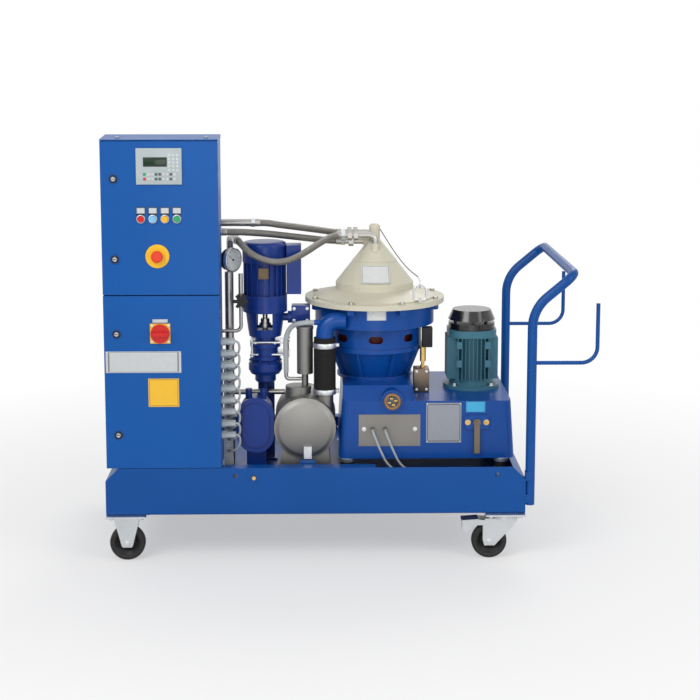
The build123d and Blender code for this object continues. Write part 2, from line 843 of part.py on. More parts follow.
def separator_feet():
    """The four isolating feet between the deck and the base."""
    return [upright(foot_radius, deck_top, frame_bottom_z, x, y) for x in foot_places_x for y in foot_places_y]


def inspection_cover():
    """The bright cover plate over the belt chamber's window and its two speed sensors."""
    outer = frame_front_y
    cover = block(cover_x - cover_width / 2, cover_x + cover_width / 2, outer, outer + cover_thickness,
                  cover_z - cover_height / 2, cover_z + cover_height / 2)
    sensors = []
    for x in sensor_x:
        hole = across(sensor_radius, outer - 1, outer + cover_thickness + 1, x, sensor_z)
        cover -= hole
        sensors.append(across(sensor_radius - running_gap, outer - sensor_length, outer + cover_thickness + 8,
                              x, sensor_z))
    return [cover] + sensors


def sight_glass():
    """The brass ring and its glass on the boss above the cover."""
    back = frame_front_y - sight_boss_height / 2
    ring = across(sight_radius, back - sight_ring_height, back, sight_x, sight_z)
    ring -= across(sight_radius * 0.6, back - sight_ring_height - 1, back - sight_ring_height + 4, sight_x, sight_z)
    return [ring]


def brake_lever():
    """The hanging handle of the brake on its pivot pin."""
    back = frame_front_y - brake_pad_depth - running_gap
    front = back - brake_thickness
    lever = block(brake_x - brake_width / 2, brake_x + brake_width / 2, front, back, brake_z - brake_length, brake_z)
    lever += across(brake_width * 0.65, front, back, brake_x, brake_z)
    return lever + across(brake_pivot_radius, front - brake_thickness, front, brake_x, brake_z)


# Bowl casing
def casing_cone():
    """The ribbed cone that stands on the base and carries the bowl's casing."""
    wall = casing_wall
    outline = [(spindle_radius + 8, bowl_deck_z), (cone_flange_radius, bowl_deck_z),
               (cone_flange_radius, bowl_deck_z + cone_flange_height),
               (cone_low_radius, bowl_deck_z + cone_flange_height), (cone_top_radius, cone_top_z),
               (lip_radius, lip_bottom_z), (lip_radius, lip_top_z), (cone_top_radius - wall, lip_top_z),
               (cone_top_radius - wall, cone_top_z), (cone_low_radius - wall, bowl_deck_z + 2 * wall),
               (spindle_radius + 8, bowl_deck_z + 2 * wall)]
    cone = turned(outline)
    low = bowl_deck_z + cone_flange_height
    rib = [(cone_low_radius - 3, low), (cone_flange_radius - 2, low), (lip_radius - 4, lip_bottom_z - 1),
           (lip_radius - 4, lip_bottom_z + 1), (cone_top_radius - 4, lip_bottom_z + 1),
           (cone_top_radius - 4, cone_top_z)]
    fin = side_plate(rib, -rib_thickness / 2, rib_thickness / 2)
    for i in range(rib_count):
        cone += Rot(0, 0, (i + 0.5) * 360 / rib_count) * fin
    return Pos(separator_x, separator_y, 0) * cone


def sludge_ring():
    """The slotted ring, the wider ring above it with its bolt lugs, and the tangential spout."""
    wall = casing_wall
    outline = [(slot_ring_radius - wall, lip_top_z), (slot_ring_radius, lip_top_z),
               (slot_ring_radius, slot_ring_top_z), (upper_ring_radius, upper_ring_bottom_z),
               (upper_ring_radius, upper_ring_top_z), (upper_ring_radius - wall, upper_ring_top_z),
               (upper_ring_radius - wall, upper_ring_bottom_z + wall), (slot_ring_radius - wall, slot_ring_top_z + wall)]
    ring = turned(outline)
    cutter = Plane(origin=(0, 0, slot_z), x_dir=(1, 0, 0), z_dir=(0, -1, 0)) * SlotOverall(slot_width, slot_height)
    cutter = extrude(cutter, slot_ring_radius + 10)
    for i in range(slot_count):
        ring -= Rot(0, 0, i * 360 / slot_count) * cutter
    for i in range(hood_bolt_count):
        angle = (i + 0.5) * 360 / hood_bolt_count
        lug = block(upper_ring_radius - wall / 2, hood_bolt_circle + hood_bolt_radius, -12, 12,
                    upper_ring_top_z - 20, upper_ring_top_z)
        ring += Rot(0, 0, angle) * lug
    ring = Pos(separator_x, separator_y, 0) * ring
    y = separator_y + spout_y
    route = [(separator_x - upper_ring_radius / 2, y, spout_z), (separator_x + spout_x, y, spout_z),
             (separator_x + spout_x, y, sludge_hose_top_z)]
    spout = tube(route, spout_radius, [spout_bend])
    spout += lengthwise(10, separator_x + spout_x - spout_radius - 6, separator_x + spout_x, y, spout_z - 7)
    spout -= upright(upper_ring_radius - wall, slot_ring_top_z, upper_ring_top_z, separator_x, separator_y)
    return ring + spout


def bowl_casing():
    return [casing_cone(), sludge_ring()]


union_z = 1122.0
union_front_y = separator_y - 40.0
union_back_y = separator_y + 42.0
side_union_z = 1096.0
union_boss_top_z = 1092.0
union_boss_radius = 15.0
union_end_x = 108.0


def frame_hood():
    """The grey hood: a flange, a shallow skirt, a steep cone and a knob, hollow under its wall."""
    wall = hood_wall
    rim_z = hood_flange_top_z - 4
    outer = [(upper_ring_radius - casing_wall, upper_ring_top_z), (hood_flange_radius, upper_ring_top_z),
             (hood_flange_radius, rim_z), (hood_bolt_circle - 14, rim_z), (hood_bolt_circle - 14, hood_flange_top_z),
             (hood_skirt_radius, hood_skirt_z), (hood_skirt_radius, hood_step_z), (hood_cone_radius, hood_cone_z),
             (hood_cone_radius - 5, hood_cone_z + 7), (hood_neck_radius, hood_neck_z), (hood_knob_radius, hood_neck_z),
             (hood_knob_radius, hood_top_z), (0, hood_top_z), (0, hood_neck_z - 2 * wall),
             (hood_neck_radius - wall, hood_neck_z - 2 * wall), (hood_cone_radius - wall, hood_cone_z),
             (hood_skirt_radius - wall, hood_step_z - wall / 2), (hood_skirt_radius - wall, hood_skirt_z - wall),
             (upper_ring_radius - casing_wall, hood_flange_top_z - wall)]
    hood = turned(outer)
    top_edge = hood.edges().group_by(Axis.Z)[-1]
    hood = fillet(top_edge, hood_knob_radius * 0.6)
    hood = Pos(separator_x, separator_y, 0) * hood
    for y in (union_front_y, union_back_y):
        hood += upright(union_boss_radius, hood_cone_z + 34, union_boss_top_z, separator_x, y)
    hood += lengthwise(union_boss_radius, separator_x - 45, separator_x - hood_knob_radius, separator_y, side_union_z)
    return [hood]


lifting_x = separator_x + 156.0
lifting_y = separator_y - 180.0
lifting_z = hood_flange_top_z + 6
ring_bar = 4.0
ring_width = 44.0
ring_height = 54.0
hose_radius = 12.0
pipe_radius = 11.5


def hood_fittings():
    """The hood's bolts, the elbows and unions of its hoses, and the bored lug of its lifting ring."""
    pieces = []
    for i in range(hood_bolt_count):
        angle = math.radians((i + 0.5) * 360 / hood_bolt_count)
        x = separator_x + hood_bolt_circle * math.cos(angle)
        y = separator_y + hood_bolt_circle * math.sin(angle)
        pieces.append(Pos(x, y, hood_flange_top_z - 4) * hexagon(2 * hood_bolt_radius, hood_bolt_height))
    for y in (union_front_y, union_back_y):
        route = [(union_end_x, y, union_z), (separator_x, y, union_z), (separator_x, y, union_boss_top_z)]
        elbow = tube(route, pipe_radius, [22.0])
        for x in (union_end_x + 8, union_end_x + 30):
            nut = Plane(origin=(x, y, union_z), z_dir=(1, 0, 0)) * hexagon(34, 16)
            elbow += nut
        pieces.append(elbow)
    straight = lengthwise(pipe_radius, union_end_x, separator_x - 45, separator_y, side_union_z)
    straight += Plane(origin=(union_end_x + 12, separator_y, side_union_z), z_dir=(1, 0, 0)) * hexagon(34, 18)
    pieces.append(straight)
    lug = block(lifting_x - 6, lifting_x + 6, lifting_y - 9, lifting_y + 9, hood_flange_top_z - 4, lifting_z + 9)
    pieces.append(lug - lengthwise(ring_bar + pin_fit, lifting_x - 8, lifting_x + 8, lifting_y, lifting_z))
    return pieces


def lifting_ring():
    """The loose ring whose straight foot turns in the lug on the hood's flange."""
    half = ring_width / 2
    corners = [(0, 0), (-half, 0), (-half, ring_height), (half, ring_height), (half, 0), (0, 0)]
    route = [(lifting_x + x, lifting_y, lifting_z + z) for x, z in corners]
    return tube(route, ring_bar, [11.0, 20.0, 20.0, 11.0])


# Bowl, bearings and drive
def bowl_bearings():
    """The two spindle bearings in the neck."""
    pieces = []
    for z in (upper_bearing_z, lower_bearing_z):
        ring = upright(neck_bore - bearing_bore_fit, z, z + bearing_height, separator_x, separator_y)
        pieces.append(ring - upright(spindle_radius + bearing_bore_fit, z - 1, z + bearing_height + 1,
                                     separator_x, separator_y))
    return pieces


def bowl_spindle():
    """The spindle with its small flat-belt pulley at the foot."""
    spindle = upright(spindle_radius, spindle_bottom_z, bowl_bottom_z, separator_x, separator_y)
    return spindle + upright(bowl_pulley_radius, pulley_bottom_z, pulley_bottom_z + pulley_height,
                             separator_x, separator_y)


def bowl_shell():
    """The bowl body, its conical lid and the lock ring that holds them together."""
    wall = bowl_wall
    body = [(0, bowl_bottom_z), (62, bowl_bottom_z), (bowl_radius, bowl_bottom_z + 48), (bowl_radius, bowl_top_z),
            (bowl_radius - wall, bowl_top_z), (bowl_radius - wall, bowl_bottom_z + 56), (56, bowl_floor_z),
            (0, bowl_floor_z)]
    lid = [(bowl_radius - wall, bowl_top_z), (bowl_radius - 3, bowl_top_z), (bowl_radius - 3, bowl_top_z + 8),
           (bowl_lid_neck_radius, bowl_lid_top_z - 12), (bowl_lid_neck_radius, bowl_lid_top_z),
           (bowl_lid_neck_radius - 12, bowl_lid_top_z), (bowl_lid_neck_radius - 12, bowl_lid_top_z - 24),
           (bowl_radius - 2 * wall, bowl_top_z)]
    nut = [(bowl_radius, bowl_top_z - lock_nut_height), (bowl_radius + 9, bowl_top_z - lock_nut_height),
           (bowl_radius + 9, bowl_top_z + 12), (bowl_radius - 1, bowl_top_z + 12), (bowl_radius - 1, bowl_top_z),
           (bowl_radius, bowl_top_z)]
    return [turned(outline, separator_x, separator_y) for outline in (body, lid, nut)]


def disc_stack():
    """The distributor and the conical discs nested on it."""
    low = bowl_floor_z
    core = [(0, low), (54, low), (30, low + 34), (30, low + 160), (0, low + 160)]
    pieces = turned(core, separator_x, separator_y)
    for i in range(disc_count):
        z = low + 30 + i * disc_pitch
        outline = [(disc_outer_radius, z), (disc_outer_radius, z + disc_thickness), (29, z + disc_drop + disc_thickness),
                   (29, z + disc_drop)]
        pieces += turned(outline, separator_x, separator_y)
    return [pieces]


def motor_rotor():
    """The separator motor's shaft with the large belt pulley."""
    low = pulley_bottom_z - 12
    rotor = upright(motor_shaft_radius, low, motor_deck_z + 60, motor_x, separator_y)
    z = pulley_bottom_z
    middle = z + pulley_height / 2
    web = [(0, middle - pulley_web / 2), (motor_pulley_radius, z), (motor_pulley_radius, z + pulley_height),
           (motor_pulley_radius - 12, z + pulley_height), (30, middle + pulley_web / 2), (0, middle + pulley_web / 2)]
    return rotor + turned(web, motor_x, separator_y)


def drive_belt():
    """The flat belt round both pulleys, as its two tangent runs and arcs."""
    reach = motor_x - separator_x
    small = bowl_pulley_radius + running_gap
    large = motor_pulley_radius + running_gap
    low = pulley_bottom_z + (pulley_height - belt_width) / 2

    def outline(extra):
        r1 = small + extra
        r2 = large + extra
        lean = math.acos((small - large) / reach)
        tops = [(r1 * math.cos(lean), r1 * math.sin(lean)), (reach + r2 * math.cos(lean), r2 * math.sin(lean))]
        upper = Line(tops[0], tops[1])
        lower = Line((tops[1][0], -tops[1][1]), (tops[0][0], -tops[0][1]))
        right = ThreePointArc(tops[1], (reach + r2, 0), (tops[1][0], -tops[1][1]))
        left = ThreePointArc((tops[0][0], -tops[0][1]), (-r1, 0), tops[0])
        return make_face([upper, right, lower, left])

    loop = extrude(outline(belt_thickness) - outline(0), belt_width)
    return [Pos(separator_x, separator_y, low) * loop]


# Separator motor
def finned_section(core, half, fins, pitch, thickness):
    """A round motor body with fins standing on its four sides, seen from above."""
    section = Circle(core)
    for i in range(fins):
        offset = (i - (fins - 1) / 2) * pitch
        section += Pos(offset, 0) * Rectangle(thickness, 2 * half)
        section += Pos(0, offset) * Rectangle(2 * half, thickness)
    return section


def motor_housing():
    """The motor's mounting flange, lower shield, finned body, end band and terminal box."""
    x, y = motor_x, separator_y
    flange_top = motor_deck_z + motor_flange_height
    fins_low = motor_deck_z + motor_shield_height
    bottom = upright(motor_flange_radius, motor_deck_z, flange_top, x, y)
    bottom += upright(motor_body_radius, flange_top, fins_low, x, y)
    bottom -= upright(motor_shaft_radius + pin_fit, motor_deck_z - 1, fins_low + 1, x, y)
    section = finned_section(motor_body_radius, motor_half_width, 9, fin_pitch, fin_thickness)
    body = Pos(x, y, fins_low) * extrude(section, motor_fin_top_z - fins_low)
    body -= upright(motor_shaft_radius + 2, fins_low - 1, motor_deck_z + 62, x, y)
    for side in (-1, 1):
        for z in (fins_low + 50, fins_low + 118):
            body += block(x + side * 52 - 10, x + side * 52 + 10, y - motor_half_width - 4, y - motor_half_width + 12,
                          z, z + 26)
    band = Pos(x, y, motor_fin_top_z) * extrude(RectangleRounded(2 * motor_half_width - 8, 2 * motor_half_width - 8, 60),
                                                motor_band_top_z - motor_fin_top_z)
    box = block(x - 52, x + 52, y + motor_half_width, y + motor_half_width + 44, fins_low + 40, fins_low + 130)
    return [bottom, body, band, box]


def fan_cowl():
    """The black fan cowl and, on three posts, the rain canopy."""
    x, y = motor_x, separator_y
    pieces = [upright(cowl_radius, motor_band_top_z, cowl_top_z, x, y)]
    canopy = turned([(0, canopy_bottom_z), (canopy_bottom_radius, canopy_bottom_z), (canopy_top_radius, canopy_top_z),
                     (0, canopy_top_z)], x, y)
    for angle in (30, 150, 270):
        post_x = x + (canopy_top_radius - 4) * math.cos(math.radians(angle))
        post_y = y + (canopy_top_radius - 4) * math.sin(math.radians(angle))
        post = Pos(post_x, post_y, cowl_top_z) * hexagon(2 * canopy_post_radius, canopy_bottom_z - cowl_top_z)
        canopy += post
    return pieces + [canopy]


# Feed pump
feed_port_z = 832.0


def feed_motor():
    """The feed pump's finned motor with its flange, cowl and terminal box."""
    x, y = pump_x, pump_y
    section = Circle(pump_body_radius)
    fins = 20
    for i in range(fins // 2):
        section += Rot(0, 0, i * 360 / fins) * Rectangle(2 * pump_fin_radius, 4)
    body = extrude(section, pump_cowl_bottom_z - pump_body_bottom_z)
    body = Pos(x, y, pump_body_bottom_z) * body
    body += upright(pump_flange_radius, pump_flange_bottom_z, pump_body_bottom_z, x, y)
    body -= upright(coupling_radius + pin_fit, pump_flange_bottom_z - 1, pump_body_bottom_z - 10, x, y)
    cowl = upright(pump_cowl_radius, pump_cowl_bottom_z, pump_cowl_top_z, x, y)
    cowl = fillet(cowl.edges().group_by(Axis.Z)[-1], 14)
    box_x = x + pump_fin_radius + 2
    box = block(box_x, box_x + 52, y - 40, y + 40, pump_body_bottom_z + 4, pump_cowl_bottom_z + 62)
    return [body, cowl, box]


def feed_pump():
    """The open lantern under the motor, the pump head with its flanges and the valve actuator below."""
    x, y = pump_x, pump_y
    outline = [(0, lantern_bottom_z), (lantern_radius - 12, lantern_bottom_z),
               (lantern_radius - 8, lantern_bottom_z + 26),
               (lantern_radius, pump_flange_bottom_z - 12), (pump_flange_radius, pump_flange_bottom_z - 12),
               (pump_flange_radius, pump_flange_bottom_z), (0, pump_flange_bottom_z)]
    lantern = turned(outline, x, y)
    lantern -= upright(lantern_radius - 2 * lantern_wall, lantern_bottom_z + 22, pump_flange_bottom_z + 1, x, y)
    lantern -= block(x - lantern_window_width / 2, x + lantern_window_width / 2, y - 100, y + 100,
                     lantern_bottom_z + 28, pump_flange_bottom_z - 14)
    lantern += lengthwise(14, x + 46, x + lantern_radius + 12, y, feed_port_z)
    neck = upright(37, 739, lantern_bottom_z, x, y)
    plates = upright(55, 725, 739, x, y) + upright(46, 692, 725, x, y) + upright(55, 680, 692, x, y)
    dome = turned([(0, 680), (46, 680), (61, 664), (61, 640), (52, 626), (38, 626), (38, 600), (30, 593), (5, 593),
                   (5, 558), (11, 558), (11, 540), (0, 540)], x, y)
    stand = block(x - 30, x + 30, y + 62, y + 82, deck_top, 780)
    stand += block(x - 30, x + 30, y + 30, y + 82, 700, 720)
    stand += block(x - 40, x + 40, y + 30, y + 110, deck_top, deck_top + 8)
    return [lantern, neck, plates + stand, dome]


def feed_coupling():
    """The shaft between the feed motor and its pump, with the coupling seen through the lantern."""
    x, y = pump_x, pump_y
    shaft = upright(coupling_radius, lantern_bottom_z + 22 + running_gap, pump_body_bottom_z - 12, x, y)
    shaft += upright(21, lantern_bottom_z + 30, lantern_bottom_z + 46, x, y)
    return shaft + upright(16, lantern_bottom_z + 46, lantern_bottom_z + 62, x, y)


def suction_strainer():
    """The oval strainer housing with its bolted cover, foot and two lifting horns."""
    x, z = strainer_x, strainer_z
    section = Plane(origin=(x, strainer_front_y + 110, z), x_dir=(1, 0, 0), z_dir=(0, -1, 0)) * SlotOverall(190, 118, 90)
    body = extrude(section, 90)
    cover = Plane(origin=(x, strainer_front_y + 20, z), x_dir=(1, 0, 0), z_dir=(0, -1, 0)) * SlotOverall(200, 132, 90)
    body += extrude(cover, 14)
    front = Plane(origin=(x, strainer_front_y + 8, z), x_dir=(1, 0, 0), z_dir=(0, -1, 0)) * SlotOverall(160, 96, 90)
    body += extrude(front, 8)
    body += block(x - 52, x + 52, strainer_front_y + 20, strainer_front_y + 110, deck_top, deck_top + 12)
    body += block(x - 34, x + 34, strainer_front_y + 40, strainer_front_y + 90, deck_top, z - 60)
    for side in (-1, 1):
        body += upright(12, z + 70, z + 122, x + side * 26, strainer_front_y + 65)
    return [body]


# Tank, vessel and pipes
def sludge_tank():
    """The lying steel drum with its dished front, inlet, neck and the two cradles it is welded to."""
    half = make_face(Polyline((0, 0), (tank_radius * 0.8, 0), (tank_radius - 2, tank_dish), (tank_radius, tank_dish),
                              (tank_radius, tank_back_y - tank_front_y), (0, tank_back_y - tank_front_y), close=True))
    drum = revolve(Plane.XZ * half, Axis.Z)
    drum = Pos(tank_x, tank_front_y, tank_z) * Rot(-90, 0, 0) * drum
    drum += upright(tank_neck_radius, tank_z, tank_neck_top_z, tank_neck_x, vessel_y)
    drum += upright(spout_radius, tank_z, sludge_hose_bottom_z, sludge_hose_x, sludge_hose_y)
    for y in (tank_front_y + 34, tank_back_y - 54):
        cradle = [(tank_x - 92, deck_top), (tank_x + 92, deck_top),
                  (tank_x + 84, tank_z - 60), (tank_x - 84, tank_z - 60)]
        drum += side_plate(cradle, y, y + 12)
    wall = tank_wall
    drum -= across(tank_radius - wall, tank_front_y + tank_dish + wall, tank_back_y - wall, tank_x, tank_z)
    drum -= upright(spout_radius - wall, tank_z, sludge_hose_bottom_z + 1, sludge_hose_x, sludge_hose_y)
    return [drum]


def air_vessel():
    """The standing steel cylinder with its black cap and foot pipe."""
    vessel = upright(vessel_radius, vessel_bottom_z, vessel_top_z, tank_x, vessel_y)
    cap = upright(vessel_radius + 2, vessel_top_z, vessel_top_z + 9, tank_x, vessel_y)
    foot = upright(12, tank_neck_top_z, vessel_bottom_z, tank_x, vessel_y)
    return [vessel, cap, foot]


latch_x = tank_x + 10.0
latch_z = tank_z - tank_radius + 12.0


def tank_latch():
    """The toggle latch on the front of the drum."""
    front = tank_front_y - running_gap
    latch = block(latch_x - 14, latch_x + 14, front - 5, front, latch_z - 10, latch_z + 34)
    return latch + across(6, front - 12, front - 5, latch_x, latch_z + 26)


riser_x = -372.0
gauge_x = -309.5
valve_x = -266.0
valve_y = -240.0
valve_z = 909.0


def process_pipes():
    """The steel risers behind the cabinets, the drain and the pipes round the feed pump."""
    runs = [
        (13, [(riser_x, -150, deck_top), (riser_x, -150, 1175), (-232, -150, 1175)], [30]),
        (11, [(riser_x, -200, deck_top), (riser_x, -200, 1148), (-348, -200, 1148)], [20]),
        (15, [(gauge_x, -205, deck_top), (gauge_x, -205, 1005.7)], None),
        (12, [(-310, -118, deck_top), (-310, -118, 1120), (-285, -195, 1120)], [20]),
        (6.5, [(valve_x, valve_y, valve_z - 22), (valve_x, valve_y, 798), (riser_x, valve_y, 797),
               (riser_x, -200 - 11 - running_gap, 797)], [20, 14]),
        (8, [(valve_x, valve_y, valve_z + 22), (valve_x, valve_y, 1004)], None),
        (7, [(-107.5, vessel_y, 638), (-107.5, vessel_y, 614), (tank_x - 12 - running_gap, vessel_y, 614)], [12]),
        (10, [(-298 + running_gap, -118, 548), (-112.7, -118, 548)], None),
    ]
    return [tube(points, radius, bends) for radius, points, bends in runs]


def valve_gear():
    """The gauge, the regulating valve's body, the feed valve block and the operating-water block."""
    facing = Vector(math.sin(math.radians(54)), -math.cos(math.radians(54)), 0)
    centre = Vector(gauge_x + 8, -215, 1050)
    gauge = extrude(Plane(origin=centre, z_dir=facing) * Circle(44), 16)
    gauge += extrude(Plane(origin=centre, z_dir=facing) * Circle(38), -20)
    body = upright(13, valve_z - 22, valve_z + 22, valve_x, valve_y)
    body += across(8, valve_y - 26, valve_y, valve_x, valve_z)
    feed = block(-88, -21, -170, -110, 812, 875)
    feed += lengthwise(22, pump_x + lantern_radius + 12, -88, pump_y, feed_port_z)
    water = block(356, 412, -160, -100, motor_deck_z, 640)
    water += upright(6, 640, 662, 390, -130)
    water += upright(11, 662, 716, 390, -130)
    water += block(386, 424, -146, -112, 716, 790)
    return [gauge, body, feed, water]


def flow_handwheel():
    """The star handwheel of the regulating valve."""
    back = valve_y - 26 - running_gap
    section = Circle(13)
    for i in range(3):
        section += Rot(0, 0, i * 60) * Rectangle(50, 11)
    star = extrude(section, 12)
    return Pos(valve_x, back, valve_z) * Rot(90, 0, 0) * star


def braided_hoses():
    """The three hoses from the risers to the unions on the hood."""
    routes = [
        [(-232, -150, 1175), (-180, -150, 1175), (-133, -140, 1166), (-33, -88, 1147), (30, -30, 1131),
         (72, union_back_y, union_z), (union_end_x, union_back_y, union_z)],
        [(-348, -200, 1148), (-300, -200, 1148), (-245, -190, 1145), (-164, -165, 1136), (-99, -130, 1124),
         (-2, -76, 1106), (58, separator_y, side_union_z), (union_end_x, separator_y, side_union_z)],
        [(-285, -195, 1120), (-274, -228.9, 1120), (-226, -262, 1072), (-150, -262, 1044), (-90, -250, 1051),
         (-34, -205, 1075), (24, -140, 1106), (70, union_front_y, union_z), (union_end_x, union_front_y, union_z)],
    ]
    return [tube(points, hose_radius) for points in routes]


def sludge_hose():
    """The wide rubber hose from the spout down to the drum, with its two clamps."""
    x, y = sludge_hose_x, sludge_hose_y
    hose = upright(sludge_hose_radius, sludge_hose_bottom_z, sludge_hose_top_z, x, y)
    band_radius = sludge_hose_radius + clamp_thickness
    for z in clamp_z:
        hose += upright(band_radius, z - clamp_height / 2, z + clamp_height / 2, x, y)
        hose += block(x + sludge_hose_radius, x + band_radius + clamp_screw_size,
                      y - clamp_screw_size, y + clamp_screw_size, z - clamp_height / 3, z + clamp_height / 3)
    return [hose]


cable_radius = 4.0


def grey_cables():
    """The cables from the glands, the sensor leads and the drain hose."""
    start_x = cabinet_right_x + gland_nut_length + gland_dome_length
    pieces = []
    for z in gland_z:
        route = [(start_x, gland_y, z), (start_x + 16, gland_y, z), (start_x + 14, gland_y + 14, z - 50),
                 (duct_x, gland_y + 30, z - 74), (duct_x, duct_y, z - 74)]
        pieces.append(tube(route, cable_radius, sides=6))
    for x in sensor_x:
        route = [(x, frame_front_y - sensor_length, sensor_z), (x, frame_front_y - 42, sensor_z),
                 (x + 24, frame_front_y - 40, sensor_z - 62), (x + 58, frame_front_y - 30, deck_top + 26),
                 (x + 104, frame_front_y - 22, deck_top + cable_radius)]
        pieces.append(tube(route, cable_radius, sides=6))
    drain = [(-107.5, vessel_y, 638), (-107.5, vessel_y, 700), (-110, vessel_y, 760), (-92, vessel_y - 4, 806),
             (-52, sludge_hose_y, spout_z - 7), (separator_x + spout_x - spout_radius - 6, sludge_hose_y, spout_z - 7)]
    pieces.append(tube(drain, 9.0, sides=12))
    return pieces


duct_x = cabinet_right_x + 19.0
duct_y = -262.0


def cable_duct():
    """The duct that takes the cables down to the deck."""
    return [block(duct_x - 16, duct_x + 16, duct_y, duct_y + 18, deck_top, gland_z[-1] - 60)]


def drain_plug():
    plug = across(drain_plug_radius - running_gap, front_y - drain_plug_length, front_y + tray_sheet,
                  drain_plug_x, drain_plug_z)
    return [plug]


# The whole machine
def all_parts():
    corners = [(side, depth) for side in (-1, 1) for depth in (-1, 1)]
    names = {(-1, -1): "front_left", (-1, 1): "rear_left", (1, -1): "front_right", (1, 1): "rear_right"}
    parts = {
        "base_tray": base_tray(),
        "caster_mounts": [(rigid_caster if side < 0 else swivel_mount)(side * caster_x, depth * caster_y)
                          for side, depth in corners],
        "push_handle": push_handle(),
        "lower_cabinet": [cabinet_shell(skirt_top, cabinet_seam_z, door_low_z, door_seam_low)] + cabinet_stand(),
        "upper_cabinet": [cabinet_shell(cabinet_seam_z, cabinet_top, door_seam_high, door_high_z) + cabinet_roof()],
        "control_gear": control_gear(),
        "lower_door": lower_door(),
        "upper_door": upper_door(),
        "operator_panel": operator_panel(),
        "switch_plate": switch_plate_and_body(),
        "main_switch": [main_switch()],
        "estop_button": [estop_button()],
        "cable_glands": cable_glands(),
        "grey_cables": grey_cables() + cable_duct(),
        "drain_plug": drain_plug(),
        "separator_base": separator_base(),
        "separator_feet": separator_feet(),
        "inspection_cover": inspection_cover(),
        "sight_glass": sight_glass(),
        "brake_lever": [brake_lever()],
        "bowl_casing": bowl_casing(),
        "frame_hood": frame_hood(),
        "hood_fittings": hood_fittings(),
        "lifting_ring": [lifting_ring()],
        "bowl_bearings": bowl_bearings(),
        "bowl_spindle": [bowl_spindle()],
        "bowl_shell": bowl_shell(),
        "disc_stack": disc_stack(),
        "motor_rotor": [motor_rotor()],
        "drive_belt": drive_belt(),
        "motor_housing": motor_housing(),
        "fan_cowl": fan_cowl(),
        "feed_motor": feed_motor(),
        "feed_pump": feed_pump(),
        "feed_coupling": [feed_coupling()],
        "suction_strainer": suction_strainer(),
        "sludge_tank": sludge_tank(),
        "air_vessel": air_vessel(),
        "tank_latch": [tank_latch()],
        "process_pipes": process_pipes(),
        "valve_gear": valve_gear(),
        "flow_handwheel": [flow_handwheel()],
        "braided_hoses": braided_hoses(),
        "sludge_hose": sludge_hose(),
    }
    for name, x in zip(button_names, button_x):
        parts[name] = [push_button(x)]
    for place, heights in (("upper", upper_lock_z), ("lower", lower_lock_z)):
        for name, z in zip(("bottom", "top"), heights):
            parts[f"{place}_{name}_lock"] = [door_lock(z)]
    for side, depth in corners:
        name = names[side, depth]
        x = side * caster_x - (trail if side > 0 else 0)
        parts[f"{name}_wheel"] = [wheel(x, depth * caster_y)]
        if side > 0:
            parts[f"{name}_fork"] = [swivel_fork(caster_x, depth * caster_y)]
            parts[f"{name}_pedal"] = [brake_pedal(caster_x, depth * caster_y)]
    return parts


origin_x = (handle_x + hook_reach + hook_radius - half_length) / 2


def main():
    os.makedirs("parts", exist_ok=True)
    for name, solids in all_parts().items():
        moved = [Pos(-origin_x, 0, 0) * solid for solid in solids]
        shape = moved[0] if len(moved) == 1 else Compound(children=moved)
        export_step(shape, f"parts/{name}.step")


if __name__ == "__main__":
    main()
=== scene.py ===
import math

import bmesh
import bpy
from mathutils import Matrix, Vector


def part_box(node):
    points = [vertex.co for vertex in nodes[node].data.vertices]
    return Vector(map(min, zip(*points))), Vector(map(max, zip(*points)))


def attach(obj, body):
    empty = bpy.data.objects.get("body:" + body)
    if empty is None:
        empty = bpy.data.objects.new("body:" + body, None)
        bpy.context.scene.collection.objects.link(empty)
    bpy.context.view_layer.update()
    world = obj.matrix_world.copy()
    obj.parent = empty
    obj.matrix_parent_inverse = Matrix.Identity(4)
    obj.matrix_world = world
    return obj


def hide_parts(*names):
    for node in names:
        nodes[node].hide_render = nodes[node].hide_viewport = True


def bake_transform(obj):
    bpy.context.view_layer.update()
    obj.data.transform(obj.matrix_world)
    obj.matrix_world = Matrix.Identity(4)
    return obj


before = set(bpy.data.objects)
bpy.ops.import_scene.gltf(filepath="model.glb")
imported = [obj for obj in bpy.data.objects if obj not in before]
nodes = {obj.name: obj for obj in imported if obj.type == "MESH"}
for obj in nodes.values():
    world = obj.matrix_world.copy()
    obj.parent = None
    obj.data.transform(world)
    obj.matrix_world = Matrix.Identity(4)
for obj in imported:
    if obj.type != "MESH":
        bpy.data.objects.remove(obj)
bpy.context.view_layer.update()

# Places and sizes, in the drawing's millimetres. The drawing's x is 126 mm more than the row's.
ROW_SHIFT = 126.0

# The cabinet: PANEL is (x, z, width, height), STOP and SWITCH are (x, z)
FRONT = -400.0
DOOR_LEFT = -731.5
LOCK_X = -687.0
PANEL = (-531.2, 1397.0, 156.0, 124.0)
BUTTON_X = {"red_button": -595.5, "light_button": -554.5, "yellow_button": -513.5, "green_button": -472.5}
BUTTON_Z = 1217.0
STOP = (-541.5, 1088.0)
SWITCH = (-536.5, 819.0)
LOCK_Z = {"upper_door": (1078.0, 1354.0), "lower_door": (460.0, 817.0)}
ROOF_Z = 1491.5
GLAND_END = (-283.5, -330.0)
GLAND_Z = [441.0 + 42.0 * i for i in range(9)]
DUCT_X = -312.5
DUCT_Y = -262.0

# The separator and its motor: RING_TOP is the middle of the lifting ring's upper bar
BOWL_X = 215.5
BOWL_Y = -50.0
MOTOR_X = 574.5
BASE_FRONT = -300.0
BASE_LOW = 343.0
HOOD_STEP = 1026.0
FEET_X = (111.0, 664.0)
FEET_Y = (-271.0, 171.0)
SENSOR_X = (201.0, 246.0)
RING_TOP = (371.5, -230.0, 959.0)

